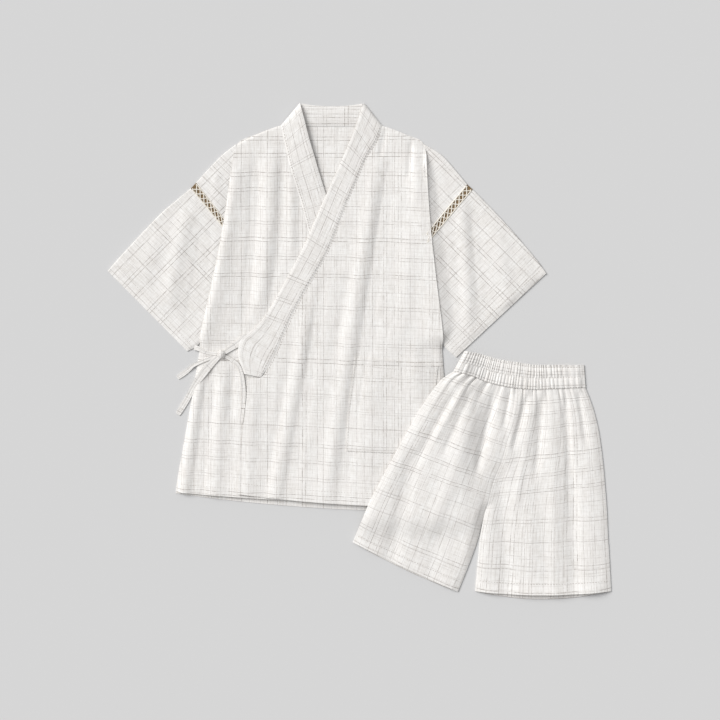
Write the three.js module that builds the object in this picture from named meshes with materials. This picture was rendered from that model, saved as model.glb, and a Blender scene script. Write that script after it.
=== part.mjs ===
// A jinbei set: a wrap jacket and a pair of shorts, laid out flat on a surface.
// Millimetres. +X to the right of the layout, +Y towards the jacket's neck, +Z up from the surface.
// Left and right in the node names are the wearer's: the wearer's right is at -X.
import * as THREE from 'three';

const cloth = 1.2; // thickness of one wall of cloth
const band = 1.6; // thickness of a folded collar band
const tieCloth = 1.6; // thickness of a sewn tie
const seamGap = 0.4; // clearance between two pieces sewn edge to edge
const curvedGap = 0.9; // clearance between pieces that follow each other over folds
const underLevel = cloth + 0.3; // underside of the front that is wrapped first
const overLevel = underLevel + band + curvedGap; // underside of the front wrapped over it
const shoulderY = 400; // the over front has come down to the back layer here
const wrapY = 300; // below this it lies on the under front
const sideRoll = 34; // width over which the over front comes down to the side seam
const waistLift = 8.4; // how high the shorts lie where they cross the jacket
const liftEndX = 180; // the shorts come down to the surface right of this line
const liftEndY = -294; // and below this one
const liftRamp = 50; // length of that slope
const legGap = 2.2; // from the underside of a back leg to the underside of the front leg
const bandLoft = 3.2; // room inside the elastic waistband
const gatherDepth = 1.5;
const gatherCount = 30;
const tieWidth = 9;
const overSeamGap = 0.64; // the over front stays this far from its collar's seam line
const underSeamGap = 0.56; // and the under front from its own
const shoulderLine = 360; // rows above this height belong to the shoulder
const shoulderBow = 3; // how far the shoulder seam arches
const armGap = 0.8; // the sleeve's front layer stops this far from the body's edge
const foldEase = 30; // a sleeve's creases grow over this distance from its folded edge
const cottonRoughness = 0.9;
const foldedRoughness = 0.88; // collars and ties, pressed harder
// How finely each piece is faceted across its width.
const facets = { back: 8, over: 17, under: 14, collar: 3, nape: 6, pocket: 7, leg: 11 };

// Side edges of the body from shoulder to hem: x of the edge at a height y.
const rightSide = [
  { y: 371, x: -221 },
  { y: 310, x: -229 },
  { y: 223, x: -242 },
  { y: 130, x: -260 },
  { y: 31, x: -282 },
  { y: -77, x: -300 },
  { y: -167, x: -316 },
  { y: -256, x: -330.5 },
];
const leftSide = [
  { y: 372, x: 116 },
  { y: 310, x: 118 },
  { y: 223, x: 124 },
  { y: 130, x: 134 },
  { y: 31, x: 146 },
  { y: -77, x: 154 },
  { y: -167, x: 162 },
  { y: -288, x: 174 },
];

// Collar of the wearer's left front with the front it is sewn to: inner edge, seam, side edge.
const overRows = [
  { innerX: 8, innerY: 446, seamX: 40.5, seamY: 405.5, sideY: 372 },
  { innerX: -1, innerY: 421, seamX: 31, seamY: 378, sideY: 350 },
  { innerX: -11, innerY: 392, seamX: 16.5, seamY: 356, sideY: 331 },
  { innerX: -24, innerY: 361, seamX: 5, seamY: 333, sideY: 312 },
  { innerX: -39, innerY: 327, seamX: -8, seamY: 302, sideY: 286 },
  { innerX: -58, innerY: 285, seamX: -25, seamY: 263, sideY: 254 },
  { innerX: -79, innerY: 236, seamX: -44, seamY: 212, sideY: 210 },
  { innerX: -98, innerY: 193, seamX: -62, seamY: 171, sideY: 170 },
  { innerX: -118, innerY: 153, seamX: -82, seamY: 136, sideY: 136 },
  { innerX: -137, innerY: 118, seamX: -101, seamY: 104, sideY: 104 },
  { innerX: -157, innerY: 83, seamX: -119, seamY: 70, sideY: 70 },
  { innerX: -176, innerY: 54, seamX: -134, seamY: 37, sideY: 38 },
  { innerX: -196, innerY: 35, seamX: -146, seamY: 8, sideY: 10 },
  { innerX: -210, innerY: 20, seamX: -156, seamY: -13, sideY: -10 },
  { innerX: -210, innerY: -10, seamX: -166, seamY: -31, sideY: -28 },
  { innerX: -207, innerY: -41, seamX: -177, seamY: -47, sideY: -44 },
];
// Free edge of the over front, from under the collar's end to the hem.
const overHemRows = [
  { edgeX: -199, edgeY: -53, sideY: -50, bow: 0 },
  { edgeX: -204, edgeY: -90, sideY: -92, bow: 0 },
  { edgeX: -209, edgeY: -133, sideY: -138, bow: -2 },
  { edgeX: -213, edgeY: -175, sideY: -184, bow: -4 },
  { edgeX: -217, edgeY: -215, sideY: -232, bow: -6 },
  { edgeX: -219, edgeY: -257, sideY: -279, bow: -8 },
];

// Collar of the wearer's right front with the front it is sewn to: it runs on under the other front.
const underRows = [
  { innerX: -107, innerY: 446, seamX: -141, seamY: 406, sideY: 371 },
  { innerX: -100, innerY: 420, seamX: -137, seamY: 385, sideY: 352 },
  { innerX: -92, innerY: 388, seamX: -131, seamY: 358, sideY: 328 },
  { innerX: -81, innerY: 350, seamX: -124, seamY: 328, sideY: 302 },
  { innerX: -71, innerY: 316, seamX: -115, seamY: 299, sideY: 276 },
  { innerX: -60, innerY: 281, seamX: -105, seamY: 266, sideY: 248 },
  { innerX: -50, innerY: 248, seamX: -96, seamY: 232, sideY: 216 },
  { innerX: -40, innerY: 214, seamX: -86, seamY: 196, sideY: 182 },
  { innerX: -22, innerY: 172, seamX: -66, seamY: 150, sideY: 140 },
  { innerX: 2, innerY: 126, seamX: -40, seamY: 100, sideY: 95 },
  { innerX: 28, innerY: 86, seamX: -12, seamY: 55, sideY: 52 },
  { innerX: 56, innerY: 46, seamX: 18, seamY: 12, sideY: 12 },
  { innerX: 84, innerY: 10, seamX: 46, seamY: -30, sideY: -28 },
];
const underHemRows = [
  { edgeX: 62, edgeY: -56, sideY: -60, bow: 0 },
  { edgeX: 70, edgeY: -110, sideY: -106, bow: 0 },
  { edgeX: 75, edgeY: -165, sideY: -155, bow: -2 },
  { edgeX: 79, edgeY: -220, sideY: -204, bow: -4 },
  { edgeX: 82, edgeY: -276, sideY: -254, bow: -4 },
];

const backRows = [
  { rightX: -141, rightY: 403.6, leftX: 42, leftY: 403.6, bow: 0 },
  { rightX: -181, rightY: 391, leftX: 78, leftY: 391, bow: 0 },
  { rightX: -221, rightY: 371, leftX: 116, leftY: 372, bow: 0 },
];
const backSideHeights = [310, 223, 130, 31, -77, -167];
const backHem = { rightX: -331, rightY: -256, leftX: 174, leftY: -288, bow: -10 };

// Each sleeve: the fold along its top and, opposite, the armhole or the under edge.
// armY is a height on the body's side edge.
const rightSleeve = {
  side: rightSide,
  away: -1,
  cap: [
    { foldX: -227, foldY: 368.5, armY: 352 },
    { foldX: -237, foldY: 360.5, armY: 330 },
    { foldX: -252, foldY: 347.5, armY: 302 },
    { foldX: -271, foldY: 327.5, armY: 268 },
    { foldX: -293.5, foldY: 303, armY: 235.5 },
  ],
  lace: [
    { foldX: -294, foldY: 302.4, armY: 234.8 },
    { foldX: -303, foldY: 293, armY: 219.6 },
  ],
  sleeve: [
    { foldX: -303.5, foldY: 292.4, armY: 218.9 },
    { foldX: -328, foldY: 272, armY: 180 },
    { foldX: -354, foldY: 250, armY: 135 },
    { foldX: -380, foldY: 223.5, armY: 88 },
    { foldX: -406, foldY: 196, armY: 45 },
    { foldX: -430, foldY: 170, underX: -290, underY: 12 },
    { foldX: -452.7, foldY: 144, underX: -310, underY: 0 },
  ],
};
const leftSleeve = {
  side: leftSide,
  away: 1,
  cap: [
    { foldX: 121, foldY: 369.5, armY: 350 },
    { foldX: 132, foldY: 363, armY: 325 },
    { foldX: 150, foldY: 350.5, armY: 292 },
    { foldX: 171, foldY: 327, armY: 256 },
    { foldX: 193.5, foldY: 300, armY: 217 },
  ],
  lace: [
    { foldX: 194, foldY: 299.4, armY: 216.3 },
    { foldX: 203.5, foldY: 291, armY: 199 },
  ],
  sleeve: [
    { foldX: 204, foldY: 290.4, armY: 198.3 },
    { foldX: 232, foldY: 262, armY: 160 },
    { foldX: 259, foldY: 233.5, armY: 118 },
    { foldX: 285, foldY: 204, armY: 75 },
    { foldX: 310, foldY: 174.5, armY: 34 },
    { foldX: 324, foldY: 157, underX: 152, underY: 10 },
    { foldX: 336, foldY: 140, underX: 174, underY: -11 },
  ],
};

// Large folds: a line from its top end to its bottom end, half width and height.
const underFolds = [
  { x0: -168, y0: 372, x1: -194, y1: 60, bow: -8, width: 17, height: 3.2 },
  { x0: -126, y0: 330, x1: -124, y1: 165, bow: 0, width: 11, height: 1.8 },
  { x0: -232, y0: 250, x1: -268, y1: 60, bow: 0, width: 14, height: 2.4 },
  { x0: -246, y0: -20, x1: -276, y1: -290, bow: 0, width: 15, height: 3.4 },
];
const overFolds = [
  { x0: 12, y0: 335, x1: -86, y1: -310, bow: 12, width: 19, height: 3.4 },
  { x0: 77, y0: 370, x1: 66, y1: -10, bow: 4, width: 20, height: 3.2 },
  { x0: -112, y0: 60, x1: -172, y1: -300, bow: -6, width: 17, height: 2.8 },
];
const rightSleeveFolds = [
  { x0: -300, y0: 262, x1: -365, y1: 70, bow: -8, width: 22, height: 3 },
];
const leftSleeveFolds = [
  { x0: 176, y0: 262, x1: 196, y1: 0, bow: 8, width: 18, height: 3 },
  { x0: 236, y0: 236, x1: 262, y1: 60, bow: 10, width: 20, height: 2.4 },
];
const legFolds = [
  { x0: 196, y0: -62, x1: 66, y1: -390, bow: -6, width: 14, height: 3 },
  { x0: 226, y0: -72, x1: 150, y1: -420, bow: 0, width: 13, height: 2.6 },
  { x0: 262, y0: -80, x1: 246, y1: -190, bow: 0, width: 9, height: 1.8 },
  { x0: 304, y0: -78, x1: 300, y1: -420, bow: -14, width: 14, height: 2.8 },
  { x0: 344, y0: -76, x1: 352, y1: -440, bow: 0, width: 13, height: 3 },
  { x0: 396, y0: -74, x1: 424, y1: -440, bow: 6, width: 15, height: 2.6 },
];

const pocketRows = [
  { x0: -8, y0: -11, x1: 141, y1: -27 },
  { x0: -13, y0: -54, x1: 137, y1: -66 },
  { x0: -19, y0: -97, x1: 133, y1: -106 },
  { x0: -22, y0: -139, x1: 130, y1: -146 },
  { x0: -24, y0: -180, x1: 127, y1: -186 },
];

// Shorts: waistband stations, then rows down each leg from the waist seam to the hem.
const waistStations = [
  { topX: 190, topY: 0, seamX: 170, seamY: -36 },
  { topX: 217, topY: -5, seamX: 203, seamY: -45 },
  { topX: 240, topY: -12, seamX: 228, seamY: -55 },
  { topX: 264, topY: -17, seamX: 255, seamY: -62 },
  { topX: 290, topY: -21, seamX: 285, seamY: -67 },
  { topX: 318, topY: -25, seamX: 318, seamY: -69 },
  { topX: 348, topY: -25, seamX: 352, seamY: -67.5 },
  { topX: 403, topY: -25, seamX: 406, seamY: -65.5 },
];
const centreSeam = [
  { x: 286.5, y: -69 },
  { x: 284, y: -98 },
  { x: 278, y: -128 },
  { x: 267, y: -160 },
  { x: 257, y: -196 },
  { x: 241, y: -235 },
  { x: 233, y: -266 },
];
const rightLeg = {
  outer: [
    { x: 169, y: -38 },
    { x: 147, y: -52 },
    { x: 126, y: -78 },
    { x: 107, y: -108 },
    { x: 88, y: -140 },
    { x: 70, y: -173 },
    { x: 52, y: -206 },
    { x: 35, y: -238 },
    { x: 18, y: -272 },
    { x: 3, y: -307 },
    { x: -12, y: -344 },
  ],
  inseam: [
    { x: 221, y: -306 },
    { x: 211, y: -344 },
    { x: 196, y: -386 },
    { x: 177, y: -433 },
  ],
  hemBow: -2,
  backHemDrop: 3,
};
const leftLeg = {
  outer: [
    { x: 406.5, y: -67 },
    { x: 415, y: -88 },
    { x: 423, y: -112 },
    { x: 430, y: -142 },
    { x: 435, y: -175 },
    { x: 439, y: -210 },
    { x: 442, y: -245 },
    { x: 445, y: -285 },
    { x: 447, y: -330 },
    { x: 450, y: -380 },
    { x: 452.7, y: -432 },
  ],
  inseam: [
    { x: 224, y: -297 },
    { x: 217, y: -335 },
    { x: 213, y: -379 },
    { x: 208, y: -432 },
  ],
  hemBow: -7,
  backHemDrop: 7.4,
};

// Ties: middle lines of the sewn straps, one end at the knot or at the seam each leaves.
const knotCentre = { x: -248, y: -5, z: 10 };
const tieRoutes = {
  tie_corner_strand: [
    { x: -211, y: 24, z: 7.4 },
    { x: -222, y: 16, z: 8.6 },
    { x: -232, y: 8, z: 9.6 },
    { x: -241, y: 0.5, z: 10 },
  ],
  tie_side_strand: [
    { x: -293, y: 4, z: 4.4 },
    { x: -282, y: 0, z: 7 },
    { x: -269, y: -3.5, z: 10 },
    { x: -256, y: -4, z: 11.4 },
  ],
  tie_short_end: [
    { x: -256, y: -9, z: 5.6 },
    { x: -270, y: -17, z: 5.6 },
    { x: -286, y: -24, z: 4.8 },
    { x: -303, y: -30, z: 3 },
    { x: -316, y: -39, z: 1.4 },
    { x: -327, y: -50, z: 1 },
  ],
  tie_long_end: [
    { x: -253, y: -13, z: 8.6 },
    { x: -267, y: -27, z: 7.6 },
    { x: -281, y: -41, z: 6 },
    { x: -292, y: -56, z: 4.8 },
    { x: -303, y: -72, z: 3.6 },
    { x: -314, y: -90, z: 1.6 },
    { x: -322, y: -113, z: 1 },
  ],
  tie_loop: [
    { x: -241, y: -10.5, z: 9.4 },
    { x: -229, y: -18, z: 8.6 },
    { x: -218, y: -30, z: 8.6 },
    { x: -211, y: -50, z: 9 },
    { x: -206, y: -72, z: 9 },
    { x: -204, y: -94, z: 9 },
    { x: -207, y: -114, z: 9 },
    { x: -213, y: -133, z: 9 },
  ],
};

function clothMaterial(roughness) {
  return new THREE.MeshStandardMaterial({ color: 0xeeebe6, roughness, metalness: 0 });
}

function laceMaterial() {
  return new THREE.MeshStandardMaterial({ color: 0x8a7350, roughness: 0.85, metalness: 0 });
}

const { clamp, lerp, smoothstep } = THREE.MathUtils;

// Reads a short table at any height or station by straight lines between its rows.
function readTable(table, key, column, value) {
  const rising = table[table.length - 1][key] > table[0][key];
  let row = 0;
  while (row < table.length - 2 && (rising ? value > table[row + 1][key] : value < table[row + 1][key])) {
    row += 1;
  }
  const from = table[row];
  const to = table[row + 1];
  return lerp(from[column], to[column], (value - from[key]) / (to[key] - from[key]));
}

// Height that a list of folds adds at a place on the cloth.
function foldHeight(folds, x, y) {
  let height = 0;
  for (const fold of folds) {
    const dx = fold.x1 - fold.x0;
    const dy = fold.y1 - fold.y0;
    const length = Math.hypot(dx, dy);
    const along = ((x - fold.x0) * dx + (y - fold.y0) * dy) / (length * length);
    const t = clamp(along, 0, 1);
    const aside = ((y - fold.y0) * dx - (x - fold.x0) * dy) / length - fold.bow * 4 * t * (1 - t);
    const fade = smoothstep(t, 0, 0.2) * smoothstep(1 - t, 0, 0.2);
    height += fold.height * fade * Math.exp(-((aside / fold.width) ** 2));
  }
  return height;
}

// One closed wall between two grids of points of the same size; a ring joins its last column to its first.
function wallBetween(outer, inner, ring = false) {
  const rows = outer.length;
  const columns = outer[0].length;
  const positions = [...outer.flat(), ...inner.flat()].flatMap((p) => [p.x, p.y, p.z]);
  const index = [];
  const outerAt = (row, column) => row * columns + (column % columns);
  const innerAt = (row, column) => rows * columns + outerAt(row, column);
  const quad = (a, b, c, d) => index.push(a, b, c, a, c, d);
  const spans = ring ? columns : columns - 1;
  for (let row = 0; row < rows - 1; row += 1) {
    for (let column = 0; column < spans; column += 1) {
      const next = column + 1;
      quad(outerAt(row, column), outerAt(row + 1, column), outerAt(row + 1, next), outerAt(row, next));
      quad(innerAt(row, column), innerAt(row, next), innerAt(row + 1, next), innerAt(row + 1, column));
    }
    if (!ring) {
      const last = columns - 1;
      quad(outerAt(row, 0), innerAt(row, 0), innerAt(row + 1, 0), outerAt(row + 1, 0));
      quad(outerAt(row, last), outerAt(row + 1, last), innerAt(row + 1, last), innerAt(row, last));
    }
  }
  const end = rows - 1;
  for (let column = 0; column < spans; column += 1) {
    const next = column + 1;
    quad(outerAt(0, column), outerAt(0, next), innerAt(0, next), innerAt(0, column));
    quad(outerAt(end, column), innerAt(end, column), innerAt(end, next), outerAt(end, next));
  }
  const geometry = new THREE.BufferGeometry();
  geometry.setAttribute('position', new THREE.Float32BufferAttribute(positions, 3));
  geometry.setIndex(index);
  geometry.computeVertexNormals();
  return geometry;
}

// Points from a to b at the given fractions, bowed down or up at the middle.
function rowPoints(a, b, fractions, bow = 0) {
  return fractions.map((f) => {
    const arch = bow * 4 * f * (1 - f);
    return new THREE.Vector2(lerp(a.x, b.x, f), lerp(a.y, b.y, f) + arch);
  });
}

function evenFractions(count) {
  return Array.from({ length: count + 1 }, (_, step) => step / count);
}

// A flat-lying wall over rows of plan points, its underside at level(x, y).
function laidWall(rows, level, thickness) {
  const under = rows.map((row) => row.map((p) => new THREE.Vector3(p.x, p.y, level(p.x, p.y))));
  const upper = under.map((row) => row.map((p) => new THREE.Vector3(p.x, p.y, p.z + thickness)));
  return wallBetween(upper, under);
}

function named(name, geometry, material) {
  const mesh = new THREE.Mesh(geometry, material);
  mesh.name = name;
  return mesh;
}

function rightSideX(y) {
  return readTable(rightSide, 'y', 'x', y);
}

function leftSideX(y) {
  return readTable(leftSide, 'y', 'x', y);
}

function underCloth(x, y) {
  return underLevel + foldHeight(underFolds, x, y);
}

function overCloth(x, y) {
  const wrap = 1 - smoothstep(y, wrapY, shoulderY);
  const side = smoothstep(leftSideX(clamp(y, -288, 372)) - x, 0, sideRoll);
  const base = underLevel + (overLevel - underLevel) * wrap * side;
  return base + foldHeight(underFolds, x, y) + foldHeight(overFolds, x, y) * side;
}

function makeBack() {
  const rows = backRows.map((row) =>
    rowPoints(
      { x: row.rightX, y: row.rightY },
      { x: row.leftX, y: row.leftY },
      evenFractions(facets.back),
      row.bow,
    ),
  );
  for (const y of backSideHeights) {
    rows.push(rowPoints({ x: rightSideX(y), y }, { x: leftSideX(y), y }, evenFractions(facets.back)));
  }
  const hem = backHem;
  const hemRight = { x: hem.rightX, y: hem.rightY };
  const hemLeft = { x: hem.leftX, y: hem.leftY };
  rows.push(rowPoints(hemRight, hemLeft, evenFractions(facets.back), hem.bow));
  return named('jacket_back', laidWall(rows, () => 0, cloth), clothMaterial(cottonRoughness));
}

// The shoulder seam arches a little; every row below it is straight.
function frontBow(row) {
  return row.sideY > shoulderLine ? shoulderBow : 0;
}

// Where a row of a collar begins at the neck's edge and ends at the seam.
function collarEnds(row) {
  return [
    { x: row.innerX, y: row.innerY },
    { x: row.seamX, y: row.seamY },
  ];
}

function makeFrontOver() {
  const fractions = evenFractions(facets.over);
  const rows = overRows.map((row) => {
    const seam = { x: row.seamX + overSeamGap, y: row.seamY };
    const side = { x: leftSideX(row.sideY), y: row.sideY };
    return rowPoints(seam, side, fractions, frontBow(row));
  });
  for (const row of overHemRows) {
    const side = { x: leftSideX(row.sideY), y: row.sideY };
    rows.push(rowPoints({ x: row.edgeX, y: row.edgeY }, side, fractions, row.bow));
  }
  return named('jacket_front_left', laidWall(rows, overCloth, cloth), clothMaterial(cottonRoughness));
}

function makeFrontUnder() {
  const fractions = evenFractions(facets.under).map((f) => f ** 1.5);
  const rows = underRows.map((row) => {
    const seam = { x: row.seamX - underSeamGap, y: row.seamY };
    const side = { x: rightSideX(row.sideY), y: row.sideY };
    return rowPoints(side, seam, fractions, frontBow(row));
  });
  for (const row of underHemRows) {
    const side = { x: rightSideX(row.sideY), y: row.sideY };
    rows.push(rowPoints(side, { x: row.edgeX, y: row.edgeY }, fractions, row.bow));
  }
  return named('jacket_front_right', laidWall(rows, underCloth, cloth), clothMaterial(cottonRoughness));
}

function makeCollars() {
  const over = overRows.map((row) =>
    rowPoints(...collarEnds(row), evenFractions(facets.collar)),
  );
  const under = underRows.map((row) =>
    rowPoints(...collarEnds(row).reverse(), evenFractions(facets.collar)),
  );
  const nape = [
    rowPoints({ x: -105, y: 445.4 }, { x: 6, y: 445.4 }, evenFractions(facets.nape), -5),
    rowPoints({ x: -116, y: 404.2 }, { x: 17, y: 404.2 }, evenFractions(facets.nape)),
  ];
  return [
    named('collar_left', laidWall(over, overCloth, band), clothMaterial(foldedRoughness)),
    named('collar_right', laidWall(under, underCloth, band), clothMaterial(foldedRoughness)),
    named('collar_nape', laidWall(nape, () => 0, cloth), clothMaterial(foldedRoughness)),
  ];
}

function makePocket() {
  const rows = pocketRows.map((row) =>
    rowPoints({ x: row.x0, y: row.y0 }, { x: row.x1, y: row.y1 }, evenFractions(facets.pocket)),
  );
  const level = (x, y) => overCloth(x, y) + cloth + curvedGap;
  return named('pocket', laidWall(rows, level, cloth), clothMaterial(cottonRoughness));
}

// A stretch of sleeve: one sheet folded along the top of the arm, with its front layer over its back layer.
function sleeveStretch(name, sleeve, rows, folds, material) {
  const foldSteps = 3;
  const frontSteps = 8;
  const backSteps = 2;
  const roll = (underLevel + cloth) / 2; // outer radius of the fold
  const outer = [];
  const inner = [];
  for (const row of rows) {
    const underArm = row.underX !== undefined;
    const arm = {
      x: underArm ? row.underX : readTable(sleeve.side, 'y', 'x', row.armY) + sleeve.away * armGap,
      y: underArm ? row.underY : row.armY,
    };
    const reach = Math.hypot(row.foldX - arm.x, row.foldY - arm.y);
    const out = { x: (row.foldX - arm.x) / reach, y: (row.foldY - arm.y) / reach };
    const at = (distance, z) => new THREE.Vector3(arm.x + out.x * distance, arm.y + out.y * distance, z);
    const straight = reach - roll;
    const outerRow = [];
    const innerRow = [];
    for (let step = 0; step < frontSteps; step += 1) {
      const distance = (straight * step) / frontSteps;
      const spot = at(distance, 0);
      const edge = smoothstep(straight - distance, 0, foldEase);
      const rise = foldHeight(folds, spot.x, spot.y) * edge;
      outerRow.push(at(distance, underLevel + cloth + rise));
      innerRow.push(at(distance, underLevel + rise));
    }
    for (let step = 0; step <= foldSteps; step += 1) {
      const angle = Math.PI / 2 - (Math.PI * step) / foldSteps;
      const bend = roll - cloth;
      outerRow.push(at(straight + roll * Math.cos(angle), roll + roll * Math.sin(angle)));
      innerRow.push(at(straight + bend * Math.cos(angle), roll + bend * Math.sin(angle)));
    }
    for (let step = backSteps - 1; step >= 0; step -= 1) {
      const distance = (straight * step) / backSteps;
      outerRow.push(at(distance, 0));
      innerRow.push(at(distance, cloth));
    }
    outer.push(outerRow);
    inner.push(innerRow);
  }
  const geometry = sleeve.away > 0 ? wallBetween(outer, inner) : wallBetween(inner, outer);
  return named(name, geometry, material);
}

function makeSleeve(side, sleeve, folds) {
  return [
    sleeveStretch(`sleeve_cap_${side}`, sleeve, sleeve.cap, folds, clothMaterial(cottonRoughness)),
    sleeveStretch(`lace_${side}`, sleeve, sleeve.lace, folds, laceMaterial()),
    sleeveStretch(`sleeve_${side}`, sleeve, sleeve.sleeve, folds, clothMaterial(cottonRoughness)),
  ];
}

// Height of the surface under the shorts: on the jacket, then down a slope to the surface it all lies on.
function shortsRest(x, y) {
  const acrossX = 1 - smoothstep(x, liftEndX, liftEndX + liftRamp);
  const acrossY = 1 - smoothstep(-y, -liftEndY, -liftEndY + liftRamp);
  return waistLift * acrossX * acrossY;
}

function waistPoint(x, edge) {
  const middle = readTable(waistStations, 'seamX', 'topX', x);
  return edge === 'top'
    ? { x: middle, y: readTable(waistStations, 'seamX', 'topY', x) }
    : { x, y: readTable(waistStations, 'seamX', 'seamY', x) };
}

function makeWaistband() {
  const steps = gatherCount * 2;
  const first = waistStations[0].seamX;
  const last = waistStations[waistStations.length - 1].seamX;
  const heights = [0, 0.5, 1];
  const turn = 1.4; // the layers meet this far inside each end
  const outer = heights.map(() => []);
  const inner = heights.map(() => []);
  const addStation = (x, outerZ, innerZ, inset) => {
    heights.forEach((height, row) => {
      const top = waistPoint(x, 'top');
      const seam = waistPoint(x, 'seam');
      const px = lerp(seam.x, top.x, height);
      const py = lerp(seam.y, top.y, height);
      const rest = shortsRest(px, py);
      const edge = height === 0.5 ? 1 : 0.8;
      outer[row].push(new THREE.Vector3(px, py, rest + outerZ * (outerZ > cloth ? edge : 1)));
      inner[row].push(new THREE.Vector3(px + inset, py, rest + innerZ));
    });
  };
  for (let step = 0; step <= steps; step += 1) {
    const x = lerp(first, last, step / steps);
    const atEnd = Math.min(step, steps - step) < 2;
    const ridge = atEnd ? 0 : (step % 2) * gatherDepth;
    const front = cloth + bandLoft;
    const inset = step === 0 ? turn : step === steps ? -turn : 0;
    addStation(x, front + cloth * 1.3 + ridge, front - 0.8 + ridge * 0.5, inset);
  }
  const backSteps = 15;
  for (let step = backSteps; step >= 0; step -= 1) {
    const x = lerp(first, last, step / backSteps);
    const inset = step === 0 ? turn : step === backSteps ? -turn : 0;
    addStation(x, 0, cloth, inset);
  }
  return named('waistband', wallBetween(inner, outer, true), clothMaterial(cottonRoughness));
}

function legRows(leg, seamSide, hemDrop) {
  const inner = [...centreSeam, ...leg.inseam].map((p, row) => ({
    x: row < centreSeam.length ? p.x + (seamSide * seamGap) / 2 : p.x,
    y: p.y,
  }));
  const waistGap = 1;
  return leg.outer.map((outer, row) => {
    const hem = row === leg.outer.length - 1;
    const ends = seamSide < 0 ? [outer, inner[row]] : [inner[row], outer];
    const points = rowPoints(ends[0], ends[1], evenFractions(facets.leg), hem ? leg.hemBow - hemDrop : 0);
    if (row > 0) return points;
    return points.map((p) => new THREE.Vector2(p.x, waistPoint(p.x, 'seam').y - waistGap));
  });
}

function makeLegs() {
  const lift = (x, y) => shortsRest(x, y) + legGap + foldHeight(legFolds, x, y);
  const meshes = [];
  for (const [side, leg, seamSide] of [['right', rightLeg, -1], ['left', leftLeg, 1]]) {
    const back = legRows(leg, seamSide, leg.backHemDrop);
    const front = legRows(leg, seamSide, 0);
    const backWall = laidWall(back, shortsRest, cloth);
    const frontWall = laidWall(front, lift, cloth);
    meshes.push(named(`shorts_back_${side}`, backWall, clothMaterial(cottonRoughness)));
    meshes.push(named(`shorts_front_${side}`, frontWall, clothMaterial(cottonRoughness)));
  }
  return meshes;
}

// A flat strap along a route, lying with its width level.
function makeTie(name, route) {
  const curve = new THREE.CatmullRomCurve3(route.map((p) => new THREE.Vector3(p.x, p.y, p.z)));
  const steps = (route.length - 1) * 3;
  const rows = [];
  for (let step = 0; step <= steps; step += 1) {
    const middle = curve.getPoint(step / steps);
    const heading = curve.getTangent(step / steps);
    const across = new THREE.Vector3(-heading.y, heading.x, 0).normalize().multiplyScalar(tieWidth / 2);
    rows.push([1, 0, -1].map((f) => middle.clone().addScaledVector(across, f)));
  }
  const upper = rows.map((row) => row.map((p) => new THREE.Vector3(p.x, p.y, p.z + tieCloth)));
  return named(name, wallBetween(rows, upper), clothMaterial(foldedRoughness));
}

function makeTies() {
  const knot = new THREE.IcosahedronGeometry(1, 1);
  knot.scale(6.5, 6, 4.6);
  knot.translate(knotCentre.x, knotCentre.y, knotCentre.z);
  const meshes = Object.entries(tieRoutes).map(([name, route]) => makeTie(name, route));
  return [...meshes, named('tie_knot', knot, clothMaterial(foldedRoughness))];
}

const jacket = new THREE.Group();
jacket.add(makeBack(), makeFrontUnder(), makeFrontOver(), ...makeCollars(), makePocket());
jacket.add(...makeSleeve('right', rightSleeve, rightSleeveFolds));
jacket.add(...makeSleeve('left', leftSleeve, leftSleeveFolds));
jacket.add(...makeTies());

const shorts = new THREE.Group();
shorts.add(makeWaistband(), ...makeLegs());

const jinbeiSet = new THREE.Group();
jinbeiSet.add(jacket, shorts);

export default jinbeiSet;
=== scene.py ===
import math
import bpy
import bmesh
from mathutils import Matrix, Vector, noise

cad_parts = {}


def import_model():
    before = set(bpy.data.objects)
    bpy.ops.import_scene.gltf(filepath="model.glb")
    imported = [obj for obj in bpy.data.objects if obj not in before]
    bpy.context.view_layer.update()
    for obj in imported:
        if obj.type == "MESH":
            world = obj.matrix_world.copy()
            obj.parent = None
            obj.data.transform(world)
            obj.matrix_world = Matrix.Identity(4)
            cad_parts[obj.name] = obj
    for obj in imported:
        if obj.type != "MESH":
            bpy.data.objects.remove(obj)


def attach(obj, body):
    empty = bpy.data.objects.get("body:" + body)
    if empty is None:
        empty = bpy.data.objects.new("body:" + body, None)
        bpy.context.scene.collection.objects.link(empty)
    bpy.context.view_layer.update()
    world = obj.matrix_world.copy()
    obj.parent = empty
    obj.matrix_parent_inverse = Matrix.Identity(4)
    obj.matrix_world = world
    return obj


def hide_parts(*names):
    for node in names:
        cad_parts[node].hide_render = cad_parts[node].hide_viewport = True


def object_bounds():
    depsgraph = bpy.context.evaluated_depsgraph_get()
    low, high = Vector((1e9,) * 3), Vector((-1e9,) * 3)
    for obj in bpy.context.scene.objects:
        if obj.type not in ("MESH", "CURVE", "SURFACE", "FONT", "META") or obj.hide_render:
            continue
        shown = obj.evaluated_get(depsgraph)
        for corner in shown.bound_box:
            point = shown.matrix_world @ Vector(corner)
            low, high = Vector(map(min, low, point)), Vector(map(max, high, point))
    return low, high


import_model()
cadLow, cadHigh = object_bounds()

# Sizes in the tables are millimetres in the frame's own axes; mm turns them into metres.
# Left and right are the wearer's: the wearer's right is at -X.
mm = 0.001
scene = bpy.context.scene
setWidth = cadHigh.x - cadLow.x

studio = {
    "span": 1.432,        # width of the view, in widths of the set
    "lens": 100.0,
    "lookX": 0.001,       # the view's middle, from the middle of the set's footprint
    "lookY": -0.016,
    "floorColor": (0.640, 0.636, 0.631),
    "sunFrom": (-0.72, 0.48, 0.64),
    "sunEnergy": 3.2,
    "sunSoftness": 38.0,  # degrees across
    "skyColor": (0.97, 0.98, 1.0),
    "skyStrength": 0.46,
    "floorSize": 12.0,
    "floorRoughness": 0.9,
    "floorGloss": 0.1,
}


def lerp(a, b, t):
    return a + (b - a) * t


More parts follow.
